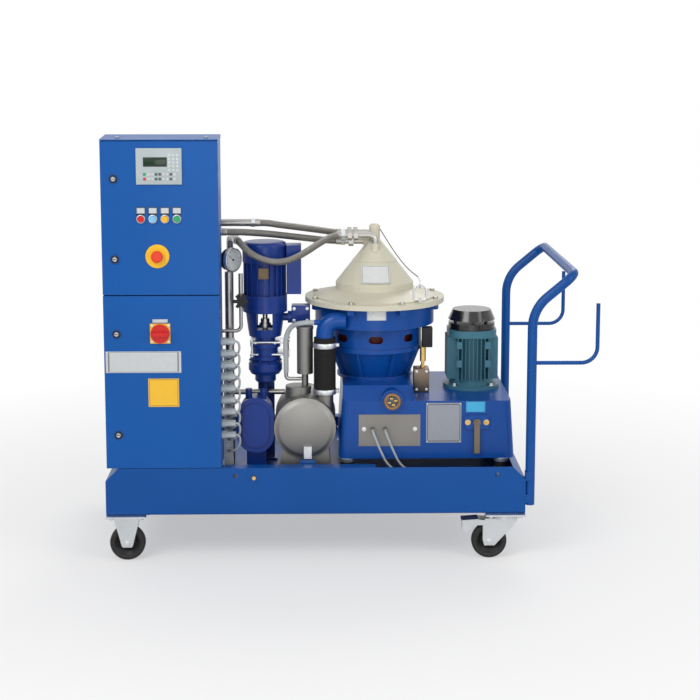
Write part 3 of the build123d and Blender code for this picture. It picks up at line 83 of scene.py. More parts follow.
# The fluid side: TANK is (x, z, radius, y of its front), the others are (x, y) or (x, y, z)
DECK = 290.0
PUMP = (-183.5, -150.0)
PUMP_FACE = -226.5
TANK = (-39.5, 457.0, 109.0, -320.0)
SLUDGE_HOSE = (31.5, -235.0)
REGULATOR = (-266.0, -240.0, 909.0)

# Facets round a wheel or a wide turned piece, and corners of a screw head that is to look round
WHEEL_STEPS = 56
ROUND = 16

# Ways in the row's frame
UP = (0, 0, 1)
DOWN = (0, 0, -1)
TO_FRONT = (0, -1, 0)
TO_BACK = (0, 1, 0)
TO_RIGHT = (1, 0, 0)


def at(x, y, z):
    """A point of the drawing, in metres in the row's frame."""
    return Vector(((x - ROW_SHIFT) / 1000, y / 1000, z / 1000))


def placed(name, data):
    """A new object in the scene."""
    made = bpy.data.objects.new(name, data)
    bpy.context.scene.collection.objects.link(made)
    return made


# Node arithmetic, for finishes and for Geometry Nodes
class Wire:
    """A node socket that takes part in ordinary arithmetic."""

    def __init__(self, bench, socket):
        self.bench = bench
        self.socket = socket

    def maths(self, operation, first, second=None):
        return self.bench.node("ShaderNodeMath", {"operation": operation}, {0: first, 1: second})

    def __add__(self, other):
        return self.maths("ADD", self, other)

    def __sub__(self, other):
        return self.maths("SUBTRACT", self, other)

    def __rsub__(self, other):
        return self.maths("SUBTRACT", other, self)

    def __mul__(self, other):
        return self.maths("MULTIPLY", self, other)

    def __truediv__(self, other):
        return self.maths("DIVIDE", self, other)

    def sin(self):
        return self.maths("SINE", self)

    def above(self, level):
        """1 where the value is above the level, else 0."""
        return self.maths("GREATER_THAN", self, level)

    def clamped(self):
        """The value, kept between 0 and 1."""
        return self.maths("MINIMUM", self.maths("MAXIMUM", self, 0.0), 1.0)

    __radd__ = __add__
    __rmul__ = __mul__


class Bench:
    """A node tree under construction."""

    def __init__(self, tree):
        self.tree = tree

    def plug(self, socket, value):
        if isinstance(value, Wire):
            self.tree.links.new(value.socket, socket)
        elif value is not None:
            socket.default_value = value

    def node(self, kind, settings=None, wires=None, out=0):
        made = self.tree.nodes.new(kind)
        for key, value in (settings or {}).items():
            setattr(made, key, value)
        for key, value in (wires or {}).items():
            self.plug(made.inputs[key], value)
        return Wire(self, made.outputs[out])


class Finish(Bench):
    """A procedural material on Object coordinates."""

    def __init__(self, name):
        self.material = bpy.data.materials.new(name)
        self.material.use_nodes = True
        super().__init__(self.material.node_tree)
        self.tree.nodes.clear()
        self.shader = self.tree.nodes.new("ShaderNodeBsdfPrincipled")
        output = self.tree.nodes.new("ShaderNodeOutputMaterial")
        self.tree.links.new(self.shader.outputs[0], output.inputs[0])
        self.surface = output.inputs[0]
        self.place = self.node("ShaderNodeTexCoord", out="Object")

    def own_map(self):
        """The two ways of the piece's own map."""
        parts = self.node("ShaderNodeUVMap", {"uv_map": "run"})
        return [self.node("ShaderNodeSeparateXYZ", None, {0: parts}, out=axis) for axis in (0, 1)]

    def stretched(self, scale):
        return self.node("ShaderNodeMapping", None, {"Vector": self.place, "Scale": scale})

    def noise(self, scale, detail=3.0, vector=None):
        wires = {"Vector": vector or self.place, "Scale": scale, "Detail": detail}
        return self.node("ShaderNodeTexNoise", None, wires)

    def mix(self, share, first, second):
        return self.node("ShaderNodeMix", {"data_type": "RGBA"}, {0: share, 6: first, 7: second}, out=2)

    def edges(self, radius):
        """The rounded normal of the edges, and a mask that is 1 on them."""
        rounded = self.node("ShaderNodeBevel", {"samples": 4}, {"Radius": radius})
        flat = self.node("ShaderNodeNewGeometry", None, None, out="True Normal")
        match = self.node("ShaderNodeVectorMath", {"operation": "DOT_PRODUCT"}, {0: rounded, 1: flat},
                          out="Value")
        contrast = 6.0
        return rounded, ((1.0 - match) * contrast).clamped()

    def bump(self, height, strength, distance, normal=None):
        wires = {"Height": height, "Strength": strength, "Distance": distance, "Normal": normal}
        return self.node("ShaderNodeBump", None, wires)

    def set(self, **sockets):
        for key, value in sockets.items():
            self.plug(self.shader.inputs[key.replace("_", " ")], value)
        return self.material


def tone(colour, share):
    """A colour times a share, with no channel above 1."""
    return tuple(min(1.0, part * share) for part in colour[:3]) + (1.0,)


def enamel(name, colour, roughness, cast, wear, coat=0.06):
    """Sprayed paint: a faint orange peel, a slow change of tone and lighter, worn edges."""
    finish = Finish(name)
    rounded, worn = finish.edges(0.0016)
    drift = finish.noise(2.6, 2.0)
    base = finish.mix(drift, tone(colour, 0.88), tone(colour, 1.1))
    chips = finish.noise(140.0, 2.0).above(0.5)
    rubbed = tone([part * 0.6 + 0.18 for part in colour[:3]], 1.0)
    base = finish.mix(worn * wear * (0.5 + chips * 0.5), base, rubbed)
    peel = finish.noise(520.0, 1.0)
    grain = finish.noise(170.0, 4.0)
    height = peel * 0.3 + grain * cast
    return finish.set(
        Base_Color=base,
        Roughness=roughness + finish.noise(9.0, 3.0) * 0.1,
        Normal=finish.bump(height, 0.35, 0.0004, rounded),
        Coat_Weight=coat,
        Coat_Roughness=0.12,
        Specular_IOR_Level=0.22,
    )


def steel(name, colour, roughness, grain, mottling=0.12):
    """Brushed metal: fine lines across one axis, and a cloudy change of shine."""
    finish = Finish(name)
    rounded, worn = finish.edges(0.0010)
    lines = finish.noise(28.0, 4.0, finish.stretched(grain))
    cloud = finish.noise(7.0, 3.0)
    base = finish.mix(cloud, tone(colour, 1.0 - mottling), tone(colour, 1.0 + mottling))
    base = finish.mix(worn * 0.4, base, tone(colour, 1.25))
    return finish.set(
        Base_Color=base,
        Metallic=1.0,
        Roughness=roughness + lines * 0.14 + cloud * 0.08,
        Normal=finish.bump(lines, 0.12, 0.0003, rounded),
    )


def moulded(name, colour, roughness, grain, coat=0.0, shine=0.3):
    """Moulded plastic or rubber with a fine spark-eroded grain."""
    finish = Finish(name)
    rounded, worn = finish.edges(0.0008)
    base = finish.mix(finish.noise(11.0, 3.0), tone(colour, 0.88), tone(colour, 1.12))
    base = finish.mix(worn * 0.25, base, tone([part * 0.7 + 0.12 for part in colour[:3]], 1.0))
    return finish.set(
        Base_Color=base,
        Roughness=roughness + finish.noise(40.0, 2.0) * 0.12,
        Normal=finish.bump(finish.noise(900.0, 2.0), grain, 0.0002, rounded),
        Coat_Weight=coat,
        Specular_IOR_Level=shine,
    )


def clear_glass(name):
    """Clear glass with faint smears."""
    finish = Finish(name)
    smears = finish.noise(30.0, 3.0)
    return finish.set(
        Base_Color=(0.93, 0.96, 0.96, 1.0),
        Roughness=0.02 + smears * 0.05,
        Transmission_Weight=0.9,
        IOR=1.45,
    )


def steel_braid(name):
    """Crossing bands of fine wire, from the tube's own map: around, then along in metres; the weave's low
    grooves get painted shade.
    """
    finish = Finish(name)
    around, along = finish.own_map()

    def crossing(round_once, per_metre):
        """Waves along a left-handed and along a right-handed spiral."""
        ring, run = around * round_once, along * per_metre
        return ((ring + run) * (2 * math.pi)).sin(), ((ring - run) * (2 * math.pi)).sin()

    left, right = crossing(10.0, 170.0)
    over = (left * right).above(0.0)
    left_wire, right_wire = crossing(60.0, 900.0)
    strands = left_wire * over + right_wire * (1.0 - over)
    weave = left * over + right * (1.0 - over)
    height = weave * 0.7 + strands * 0.3
    # Painted shade: the colour darkens in the weave's low grooves and stands in for the shade between the
    # wires
    painted_groove_shade = (0.5 + height * 0.5).clamped()
    base = finish.mix(painted_groove_shade, (0.035, 0.032, 0.03, 1.0), (0.40, 0.385, 0.35, 1.0))
    return finish.set(
        Base_Color=base,
        Metallic=0.85,
        Roughness=0.34 + finish.noise(60.0, 2.0) * 0.15,
        Normal=finish.bump(height, 0.6, 0.0008),
    )


def blank_plate(name, colour, metallic=0.0):
    """A blank plate with a faint border line that follows its own map."""
    finish = Finish(name)
    across, up = finish.own_map()
    inset = across.maths("MINIMUM", across, 1.0 - across)
    inset = inset.maths("MINIMUM", inset, inset.maths("MINIMUM", up, 1.0 - up))
    line_start, line_end = 0.03, 0.05
    line = inset.above(line_start) * (1.0 - inset.above(line_end))
    fog = finish.noise(60.0, 3.0)
    base = finish.mix(line, finish.mix(fog, tone(colour, 0.92), tone(colour, 1.05)), tone(colour, 0.35))
    return finish.set(Base_Color=base, Metallic=metallic, Roughness=0.3 + fog * 0.15)


CABINET_BLUE = enamel("cabinet_blue", (0.0, 0.088, 0.36), 0.3, 0.05, 0.25)
TRAY_BLUE = enamel("tray_blue", (0.001, 0.072, 0.31), 0.32, 0.1, 0.35)
CASTING_BLUE = enamel("casting_blue", (0.002, 0.066, 0.32), 0.26, 0.5, 0.35, 0.15)
PUMP_BLUE = enamel("pump_blue", (0.006, 0.034, 0.22), 0.26, 0.6, 0.35, 0.15)
MOTOR_TEAL = enamel("motor_teal", (0.052, 0.175, 0.24), 0.34, 0.4, 0.35, 0.1)
HOOD_GREY = enamel("hood_grey", (0.66, 0.63, 0.50), 0.42, 0.7, 0.25, 0.1)
BOWL_RED = enamel("bowl_oxide_red", (0.11, 0.010, 0.008), 0.4, 0.3, 0.2)
BRUSHED = steel("brushed_stainless", (0.46, 0.45, 0.42), 0.28, (1.0, 1.0, 24.0))
TANK_STEEL = steel("tank_stainless", (0.265, 0.26, 0.245), 0.38, (30.0, 1.0, 1.0))
VESSEL_STEEL = steel("vessel_stainless", (0.27, 0.262, 0.25), 0.42, (40.0, 40.0, 1.0))
COVER_STEEL = steel("cover_stainless", (0.25, 0.24, 0.225), 0.4, (1.0, 1.0, 40.0))
PIPE_STEEL = steel("pipe_stainless", (0.42, 0.41, 0.39), 0.24, (1.0, 1.0, 3.0), 0.08)
ZINC = steel("bright_zinc", (0.66, 0.68, 0.69), 0.3, (6.0, 6.0, 6.0), 0.16)
TURNED = steel("turned_steel", (0.5, 0.5, 0.5), 0.22, (1.0, 1.0, 60.0))
TAUPE = steel("worn_lever_steel", (0.20, 0.16, 0.12), 0.42, (1.0, 1.0, 10.0))
BRASS = steel("brass_fitting", (0.72, 0.48, 0.17), 0.24, (3.0, 3.0, 3.0))
BRONZE = steel("bronze_ring", (0.30, 0.16, 0.07), 0.34, (3.0, 3.0, 3.0))
BLACK = moulded("black_plastic", (0.012, 0.012, 0.013), 0.38, 0.3)
GLOSS_BLACK = moulded("gloss_black_canopy", (0.008, 0.008, 0.009), 0.16, 0.1, 0.4, 0.5)
RUBBER = moulded("hose_rubber", (0.014, 0.013, 0.013), 0.6, 0.5, 0.0, 0.15)
TREAD = moulded("tread_rubber", (0.018, 0.018, 0.018), 0.5, 0.4)
LIGHT_GREY = moulded("light_grey_plastic", (0.50, 0.54, 0.55), 0.4, 0.2)
CABLE = moulded("cable_sheath", (0.42, 0.45, 0.46), 0.45, 0.2)
GEAR_GREY = moulded("switchgear_grey", (0.45, 0.46, 0.46), 0.5, 0.2)
PANEL_SILVER = moulded("panel_foil", (0.44, 0.50, 0.51), 0.34, 0.15)
KEY_PALE = moulded("key_pale", (0.62, 0.66, 0.66), 0.4, 0.1)
KEY_DARK = moulded("key_dark", (0.10, 0.11, 0.12), 0.4, 0.1)
DISPLAY = moulded("display_window", (0.004, 0.030, 0.010), 0.12, 0.0, 0.3)
RED = moulded("red_plastic", (0.62, 0.012, 0.01), 0.28, 0.1, 0.2)
ORANGE_RED = moulded("stop_head_red", (0.78, 0.05, 0.015), 0.3, 0.1, 0.2)
PALE_BLUE = moulded("pale_blue_cap", (0.20, 0.52, 0.80), 0.22, 0.05, 0.2)
AMBER = moulded("amber_cap", (0.88, 0.44, 0.01), 0.22, 0.05, 0.2)
GREEN = moulded("green_cap", (0.01, 0.33, 0.11), 0.22, 0.05, 0.2)
YELLOW = moulded("yellow_plate", (0.90, 0.50, 0.015), 0.32, 0.1, 0.1)
GLASS = clear_glass("sight_glass")
BRAID = steel_braid("steel_braid")
PLATE_SILVER = blank_plate("blank_silver_plate", (0.55, 0.575, 0.59), 0.2)
PLATE_STEEL = blank_plate("blank_steel_plate", (0.29, 0.31, 0.35), 0.6)
PLATE_WHITE = blank_plate("blank_white_plate", (0.72, 0.73, 0.72))
PLATE_SKY = blank_plate("blank_sky_plate", (0.05, 0.42, 0.72))
PLATE_YELLOW = blank_plate("blank_yellow_plate", (0.88, 0.50, 0.02))
PLATE_BRONZE = blank_plate("blank_bronze_plate", (0.12, 0.09, 0.05), 0.7)

CAD_FINISH = {
    CABINET_BLUE: ("lower_cabinet", "upper_cabinet", "lower_door", "upper_door"),
    TRAY_BLUE: ("base_tray", "push_handle"),
    CASTING_BLUE: ("separator_base", "bowl_casing"),
    PUMP_BLUE: ("feed_motor", "feed_pump", "suction_strainer"),
    MOTOR_TEAL: ("motor_housing",),
    HOOD_GREY: ("frame_hood",),
    BOWL_RED: ("bowl_shell",),
    BRUSHED: ("hood_fittings", "disc_stack"),
    TANK_STEEL: ("sludge_tank",),
    COVER_STEEL: ("inspection_cover",),
    PIPE_STEEL: ("process_pipes",),
    VESSEL_STEEL: ("air_vessel",),
    ZINC: ("caster_mounts", "front_right_fork", "rear_right_fork", "front_right_pedal", "rear_right_pedal",
           "lifting_ring", "tank_latch"),
    TURNED: ("bowl_spindle", "bowl_bearings", "motor_rotor", "feed_coupling"),
    TAUPE: ("brake_lever",),
    BRASS: ("drain_plug",),
    GLOSS_BLACK: ("fan_cowl",),
    BLACK: ("flow_handwheel", "upper_bottom_lock", "upper_top_lock", "lower_bottom_lock", "lower_top_lock"),
    RUBBER: ("drive_belt", "separator_feet"),
    LIGHT_GREY: ("cable_glands",),
    GEAR_GREY: ("control_gear",),
    YELLOW: ("switch_plate",),
    RED: ("main_switch", "red_button"),
    ORANGE_RED: ("estop_button",),
    PALE_BLUE: ("light_button",),
    AMBER: ("yellow_button",),
    GREEN: ("green_button",),
    GLASS: ("sight_glass",),
}


# Geometry Nodes
class Recipe(Bench):
    """A Geometry Nodes tree with named inputs for its sizes."""

    def __init__(self, name, sizes):
        tree = bpy.data.node_groups.new(name, "GeometryNodeTree")
        super().__init__(tree)
        self.sockets = {}
        tree.interface.new_socket("Places", in_out="INPUT", socket_type="NodeSocketGeometry")
        for label, value in sizes.items():
            kind = "NodeSocketInt" if isinstance(value, int) else "NodeSocketFloat"
            socket = tree.interface.new_socket(label, in_out="INPUT", socket_type=kind)
            socket.default_value = value
            self.sockets[label] = socket.identifier
        tree.interface.new_socket("Result", in_out="OUTPUT", socket_type="NodeSocketGeometry")
        self.given = tree.nodes.new("NodeGroupInput")

    def read(self, label):
        return Wire(self, self.given.outputs[label])

    def close(self, geometry):
        solid = self.node("GeometryNodeRealizeInstances", None, {0: geometry})
        coated = self.node("GeometryNodeSetMaterial", None, {"Geometry": solid})
        self.material_node = coated.socket.node
        result = self.tree.nodes.new("NodeGroupOutput")
        self.plug(result.inputs[0], coated)
        return self

    def make(self, name, seeds, finish, **sizes):
        """The tree's plain mesh over a mesh of seeds."""
        host = placed(name, seeds)
        self.material_node.inputs["Material"].default_value = finish
        modifier = host.modifiers.new("recipe", "NODES")
        modifier.node_group = self.tree
        for label, value in sizes.items():
            modifier[self.sockets[label]] = value
        result = host.evaluated_get(bpy.context.evaluated_depsgraph_get())
        shape = bpy.data.meshes.new_from_object(result)
        host.modifiers.remove(modifier)
        host.data = shape
        shape.materials.clear()
        shape.materials.append(finish)
        return host


def seeds_at(places, facings):
    """A mesh of single points, each with the way that its piece faces."""
    mesh = bpy.data.meshes.new("seeds")
    mesh.from_pydata([tuple(place) for place in places], [], [])
    facing = mesh.attributes.new("facing", "FLOAT_VECTOR", "POINT")
    facing.data.foreach_set("vector", [part for way in facings for part in way])
    return mesh


def planted(recipe, item):
    """Puts an item on every seed, its Z along the seed's facing."""
    named = {"data_type": "FLOAT_VECTOR"}
    facing = recipe.node("GeometryNodeInputNamedAttribute", named, {"Name": "facing"})
    turn = recipe.node("FunctionNodeAlignRotationToVector", {"axis": "Z"}, {"Vector": facing})
    points = recipe.node("GeometryNodeMeshToPoints", None, {"Mesh": recipe.read("Places")})
    wires = {"Points": points, "Instance": item, "Rotation": turn}
    return recipe.node("GeometryNodeInstanceOnPoints", None, wires)


def raised(recipe, shape, lift):
    """A shape, moved up by a lift."""
    offset = recipe.node("ShaderNodeCombineXYZ", None, {2: lift})
    return recipe.node("GeometryNodeTransform", None, {"Geometry": shape, "Translation": offset})


def disc(recipe, corners, radius, height, lift):
    """An upright drum, its middle at the lift."""
    drum = recipe.node("GeometryNodeMeshCylinder", {"fill_type": "NGON"},
                       {"Vertices": corners, "Radius": radius, "Depth": height})
    return raised(recipe, drum, lift)


def joined(recipe, *shapes):
    """Several shapes as one."""
    made = recipe.tree.nodes.new("GeometryNodeJoinGeometry")
    for shape in reversed(shapes):
        recipe.tree.links.new(shape.socket, made.inputs[0])
    return Wire(recipe, made.outputs[0])


def screw_recipe():
    """Screw heads of so many corners, each on a round washer."""
    recipe = Recipe("screws", {"Radius": 0.006, "Height": 0.006, "Corners": 6})
    radius = recipe.read("Radius")
    height = recipe.read("Height")
    washer = disc(recipe, 18, radius * 1.45, height * 0.25, height * 0.125)
    head = disc(recipe, recipe.read("Corners"), radius, height, height * 0.75)
    crown = disc(recipe, 14, radius * 0.78, height * 0.12, height * 1.3)
    return recipe.close(planted(recipe, joined(recipe, washer, head, crown)))


def key_recipe():
    """Flat keys with a narrower crown, one at each seed."""
    recipe = Recipe("keys", {"Width": 0.006, "Tall": 0.005, "Thick": 0.001})
    width, tall, thick = [recipe.read(label) for label in ("Width", "Tall", "Thick")]

    def slab(*sizes):
        size = recipe.node("ShaderNodeCombineXYZ", None, dict(enumerate(sizes)))
        return recipe.node("GeometryNodeMeshCube", None, {"Size": size})

    crown = raised(recipe, slab(width * 0.8, tall * 0.8, thick * 0.5), thick * 0.7)
    return recipe.close(planted(recipe, joined(recipe, slab(width, tall, thick), crown)))


def ring_recipe():
    """Round ribs, one at each seed, such as a hose's coils or a weld bead."""
    recipe = Recipe("ribs", {"Radius": 0.04, "Bar": 0.002, "Sides": 40})

    def circle(sides, radius):
        wires = {"Resolution": sides, "Radius": radius}
        return recipe.node("GeometryNodeCurvePrimitiveCircle", None, wires)

    path = circle(recipe.read("Sides"), recipe.read("Radius"))
    section = circle(6, recipe.read("Bar"))
    rib = recipe.node("GeometryNodeCurveToMesh", None, {"Curve": path, "Profile Curve": section})
    return recipe.close(planted(recipe, rib))


SCREWS = screw_recipe()
KEYS = key_recipe()
RIBS = ring_recipe()


def soft_shading():
    """Merges a CAD node's loose triangles and smooths the shading over its gentle edges."""
    tree = bpy.data.node_groups.new("soft_shading", "GeometryNodeTree")
    bench = Bench(tree)
    tree.interface.new_socket("Shape", in_out="INPUT", socket_type="NodeSocketGeometry")
    tree.interface.new_socket("Shape", in_out="OUTPUT", socket_type="NodeSocketGeometry")
    given = Wire(bench, tree.nodes.new("NodeGroupInput").outputs[0])
    merged = bench.node("GeometryNodeMergeByDistance", None, {0: given, "Distance": 0.00001})
    smooth = bench.node("GeometryNodeSetShadeSmooth", {"domain": "FACE"}, {0: merged, "Shade Smooth": True})
    sharp = bench.node("GeometryNodeInputMeshEdgeAngle").above(math.radians(28))
    edged = bench.node("GeometryNodeSetShadeSmooth", {"domain": "EDGE"},
                       {0: smooth, "Selection": sharp, "Shade Smooth": False})
    bench.plug(tree.nodes.new("NodeGroupOutput").inputs[0], edged)
    return tree


# Meshes
def shape_from(name, finish, body, build, sharp=30.0, smooth=True):
    """A piece whose mesh the builder fills in, in metres in the row's frame."""
    mesh = bpy.data.meshes.new(name)
    work = bmesh.new()
    build(work)
    bmesh.ops.remove_doubles(work, verts=work.verts, dist=1e-6)
    bmesh.ops.recalc_face_normals(work, faces=work.faces)
    for face in work.faces:
        face.smooth = smooth
    for edge in work.edges:
        if len(edge.link_faces) == 2 and edge.calc_face_angle() > math.radians(sharp):
            edge.smooth = False
    work.to_mesh(mesh)
    work.free()
    mesh.materials.append(finish)
    piece = placed(name, mesh)
    if body:
        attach(piece, body)
    return piece


def add_lathe(work, profile, centre, way, steps):
    """Adds a turned shape: the profile is a closed loop of (radius, height), in millimetres."""
    place = Matrix.Translation(centre) @ Vector(way).to_track_quat("Z", "Y").to_matrix().to_4x4()
    rings = []
    for radius, height in profile:
        if radius < 1e-6:
            rings.append([work.verts.new(place @ Vector((0, 0, height / 1000)))] * steps)
            continue
        ring = []
        for i in range(steps):
            angle = i * 2 * math.pi / steps
            spot = Vector((radius * math.cos(angle), radius * math.sin(angle), height)) / 1000
            ring.append(work.verts.new(place @ spot))
        rings.append(ring)
    for first, second in zip(rings, rings[1:] + rings[:1]):
        for i in range(steps):
            j = (i + 1) % steps
            corners = list(dict.fromkeys((first[i], first[j], second[j], second[i])))
            if len(corners) > 2:
                work.faces.new(corners)


def lathe(name, profile, centre, way, finish, steps, body="chassis"):
    """A turned piece about a way through a centre."""
    return shape_from(name, finish, body, lambda work: add_lathe(work, profile, centre, way, steps))


def rounded_box(name, low, high, edge, finish, body="chassis"):
    """A box between two corners, its edges rounded by so many metres."""
    def build(work):
        made = bmesh.ops.create_cube(work, size=1.0)["verts"]
        size = high - low
        for vert in made:
            vert.co = Vector([(low[i] + high[i]) / 2 + vert.co[i] * size[i] for i in range(3)])
        sides = list({side for vert in made for side in vert.link_edges})
        bmesh.ops.bevel(work, geom=sides, offset=edge, segments=2, affect="EDGES", profile=0.5)
    return shape_from(name, finish, body, build)


def smooth_path(points, per_span):
    """A path along the NURBS spline whose control points are given in the drawing's millimetres."""
    curve = bpy.data.curves.new("route", "CURVE")
    curve.dimensions = "3D"
    spline = curve.splines.new("NURBS")
    spline.points.add(len(points) - 1)
    for point, place in zip(spline.points, points):
        point.co = (*at(*place), 1.0)
    spline.order_u = 3
    spline.use_endpoint_u = True
    spline.resolution_u = per_span
    holder = bpy.data.objects.new("route", curve)
    line = bpy.data.meshes.new_from_object(holder)
    path = [vert.co.copy() for vert in line.vertices]
    bpy.data.objects.remove(holder)
    bpy.data.meshes.remove(line)
    return path


def add_tube(work, path, radius, sides):
    """Adds a round, closed tube along a path, with a map of around and metres along."""
    layer = work.loops.layers.uv.new("run")
    ways = [(path[min(i + 1, len(path) - 1)] - path[max(i - 1, 0)]).normalized() for i in range(len(path))]
    side = ways[0].orthogonal().normalized()
    rings = []
    gone = [0.0]
    for i, (place, way) in enumerate(zip(path, ways)):
        side = (side - way * side.dot(way)).normalized()
        other = way.cross(side)
        if i:
            gone.append(gone[-1] + (place - path[i - 1]).length)
        ring = []
        for k in range(sides):
            angle = k * 2 * math.pi / sides
            ring.append(work.verts.new(place + (side * math.cos(angle) + other * math.sin(angle)) * radius))
        rings.append(ring)
    for i in range(len(rings) - 1):
        for k in range(sides):
            j = (k + 1) % sides
            face = work.faces.new((rings[i][k], rings[i][j], rings[i + 1][j], rings[i + 1][k]))
            maps = ((k, i), (k + 1, i), (k + 1, i + 1), (k, i + 1))
            for loop, (around, step) in zip(face.loops, maps):
                loop[layer].uv = (around / sides, gone[step])
    work.faces.new(rings[0])
    work.faces.new(rings[-1])


def round_bar(name, path, radius, finish, sides, body="chassis"):
    """A round bar along a path."""
    def build(work):
        add_tube(work, path, radius / 1000, sides)
    return shape_from(name, finish, body, build, sharp=60.0)


def front_plate(name, across, heights, y, thickness, finish, body="chassis"):
    """A thin plate that faces the operator, mapped from 0 to 1 both ways."""
    def build(work):
        layer = work.loops.layers.uv.new("run")
        (left, right), (bottom, top) = across, heights
        corners = [at(left, y, bottom), at(right, y, bottom), at(right, y, top), at(left, y, top)]
        lift = Vector(TO_FRONT) * (thickness / 1000)
        low = [work.verts.new(corner) for corner in corners]
        high = [work.verts.new(corner + lift) for corner in corners]
        front = work.faces.new(high)
        for loop, uv in zip(front.loops, ((0, 0), (1, 0), (1, 1), (0, 1))):
            loop[layer].uv = uv
        work.faces.new(low[::-1])
        for i in range(4):
            j = (i + 1) % 4
            work.faces.new((low[i], low[j], high[j], high[i]))
    return shape_from(name, finish, body, build, smooth=False)


def wrapped_plate(name, radii, heights, half_width):
    """A white plate of one width, bent round the separator's axis on a cylinder or a cone."""
    def build(work):
        layer = work.loops.layers.uv.new("run")
        steps, thickness = 16, 0.6
        rows = []
        for radius, z in zip(radii, heights):
            for gap in (0.0, thickness):
                row = []
                for i in range(steps + 1):
                    angle = half_width / radius * (2 * i / steps - 1)
                    reach = radius + gap
                    spot = at(BOWL_X + reach * math.sin(angle), BOWL_Y - reach * math.cos(angle), z)
                    row.append(work.verts.new(spot))
                rows.append(row)
        low_in, low_out, high_in, high_out = rows
        for i in range(steps):
            front = work.faces.new((low_out[i], low_out[i + 1], high_out[i + 1], high_out[i]))
            for loop, uv in zip(front.loops, ((i, 0), (i + 1, 0), (i + 1, 1), (i, 1))):
                loop[layer].uv = (uv[0] / steps, uv[1])
            work.faces.new((low_in[i], high_in[i], high_in[i + 1], low_in[i + 1]))
            work.faces.new((low_in[i], low_in[i + 1], low_out[i + 1], low_out[i]))
            work.faces.new((high_in[i], high_out[i], high_out[i + 1], high_in[i + 1]))
        for i in (0, steps):
            work.faces.new((low_in[i], low_out[i], high_out[i], high_in[i]))
    return shape_from(name, PLATE_WHITE, "chassis", build, sharp=40.0)


def row_of(recipe, name, places, facing, finish, body="chassis", **sizes):
    """A recipe's shapes at these places, all facing one way, with sizes in metres."""
    piece = recipe.make(name, seeds_at(places, [facing] * len(places)), finish, **sizes)
    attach(piece, body)


def screws(name, places, facing, finish, radius, height, corners=6, body="chassis"):
    """Screw heads on washers, with places and sizes in the drawing's millimetres."""
    row_of(SCREWS, name, [at(*place) for place in places], facing, finish, body,
           Radius=radius / 1000, Height=height / 1000, Corners=corners)


# Camera, floor and light
def stage():
    """A camera where the photo's was taken to be, the floor, the lamps and the sky."""
    camera = placed("camera", bpy.data.cameras.new("camera"))
    bpy.context.scene.camera = camera
    camera.data.lens = 78.57
    camera.data.sensor_width = 36.0
    camera.data.shift_y = -0.12
    camera.data.clip_end = 100.0
    tilt, pan = 0.1429, -0.0192
    camera.location = at(18.93, -5600.0, 1801.1)
    camera.rotation_euler = (math.pi / 2 - tilt, 0.0, pan)

    def build(work):
        bmesh.ops.create_grid(work, x_segments=1, y_segments=1, size=14.0)
    floor = shape_from("floor", floor_finish(), None, build)

    lamps = {
        "key": ((-2.6, -3.6, 4.0), 3.0, 112.0),
        "fill": ((3.8, -3.2, 2.4), 3.0, 56.0),
        "back": ((1.5, 3.4, 3.6), 2.6, 60.0),
        "low": ((0.0, -4.8, 0.9), 2.4, 24.0),
    }
    aim = Vector((0, 0, 0.7))
    for name, (place, size, power) in lamps.items():
        light = bpy.data.lights.new(name, "AREA")
        light.shape = "DISK"
        light.size = size
        light.energy = power
        lamp = placed(name, light)
        lamp.location = place
        lamp.rotation_mode = "QUATERNION"
        lamp.rotation_quaternion = (aim - Vector(place)).to_track_quat("-Z", "Y")

    world = bpy.data.worlds.new("studio")
    bpy.context.scene.world = world
    world.use_nodes = True
    bench = Bench(world.node_tree)
    bench.tree.nodes.clear()
    seen = plainly_seen(bench)
    ambient = 0.42
    strength = ambient + seen * (1.0 - ambient)
    sky = bench.node("ShaderNodeBackground", None, {"Color": (1, 1, 1, 1), "Strength": strength})
    bench.plug(bench.tree.nodes.new("ShaderNodeOutputWorld").inputs[0], sky)


def plainly_seen(bench):
    """1 for what the camera sees, also by a reflection or through glass."""
    kinds = ("Is Camera Ray", "Is Glossy Ray", "Is Transmission Ray")
    rays = [bench.node("ShaderNodeLightPath", out=kind) for kind in kinds]
    return (rays[0] + rays[1] + rays[2]).clamped()


def floor_finish():
    """A pale floor that fades to plain white away from the machine."""
    finish = Finish("floor")
    far = finish.node("ShaderNodeVectorMath", {"operation": "LENGTH"}, {0: finish.place}, out="Value")
    near_glow, fade_start, fade_run = 0.45, 0.9, 2.0
    fade = (near_glow + ((far - fade_start) / fade_run).clamped() * (1.0 - near_glow)).clamped()
    pale = finish.mix(finish.noise(1.5), (0.86, 0.86, 0.86, 1), (0.88, 0.88, 0.88, 1))
    finish.set(Base_Color=pale, Roughness=0.75)
    glow = finish.node("ShaderNodeEmission", None, {"Color": (1, 1, 1, 1), "Strength": 1.0})
    seen = finish.node("ShaderNodeLightPath", out="Is Camera Ray")
    plain = Wire(finish, finish.shader.outputs[0])
    blend = finish.node("ShaderNodeMixShader", None, {0: fade * seen, 1: plain, 2: glow})
    finish.plug(finish.surface, blend)
    return finish.material


# The machine's pieces
def dress_cad():
    """Gives each CAD node its finish and smooth shading."""
    shading = soft_shading()
    for finish, names in CAD_FINISH.items():
        for name in names:
            node = nodes[name]
            node.data.materials.clear()
            node.data.materials.append(finish)
            node.modifiers.new("soft_shading", "NODES").node_group = shading


def slotted(piece):
    """Hands the piece back unchanged."""
    return piece


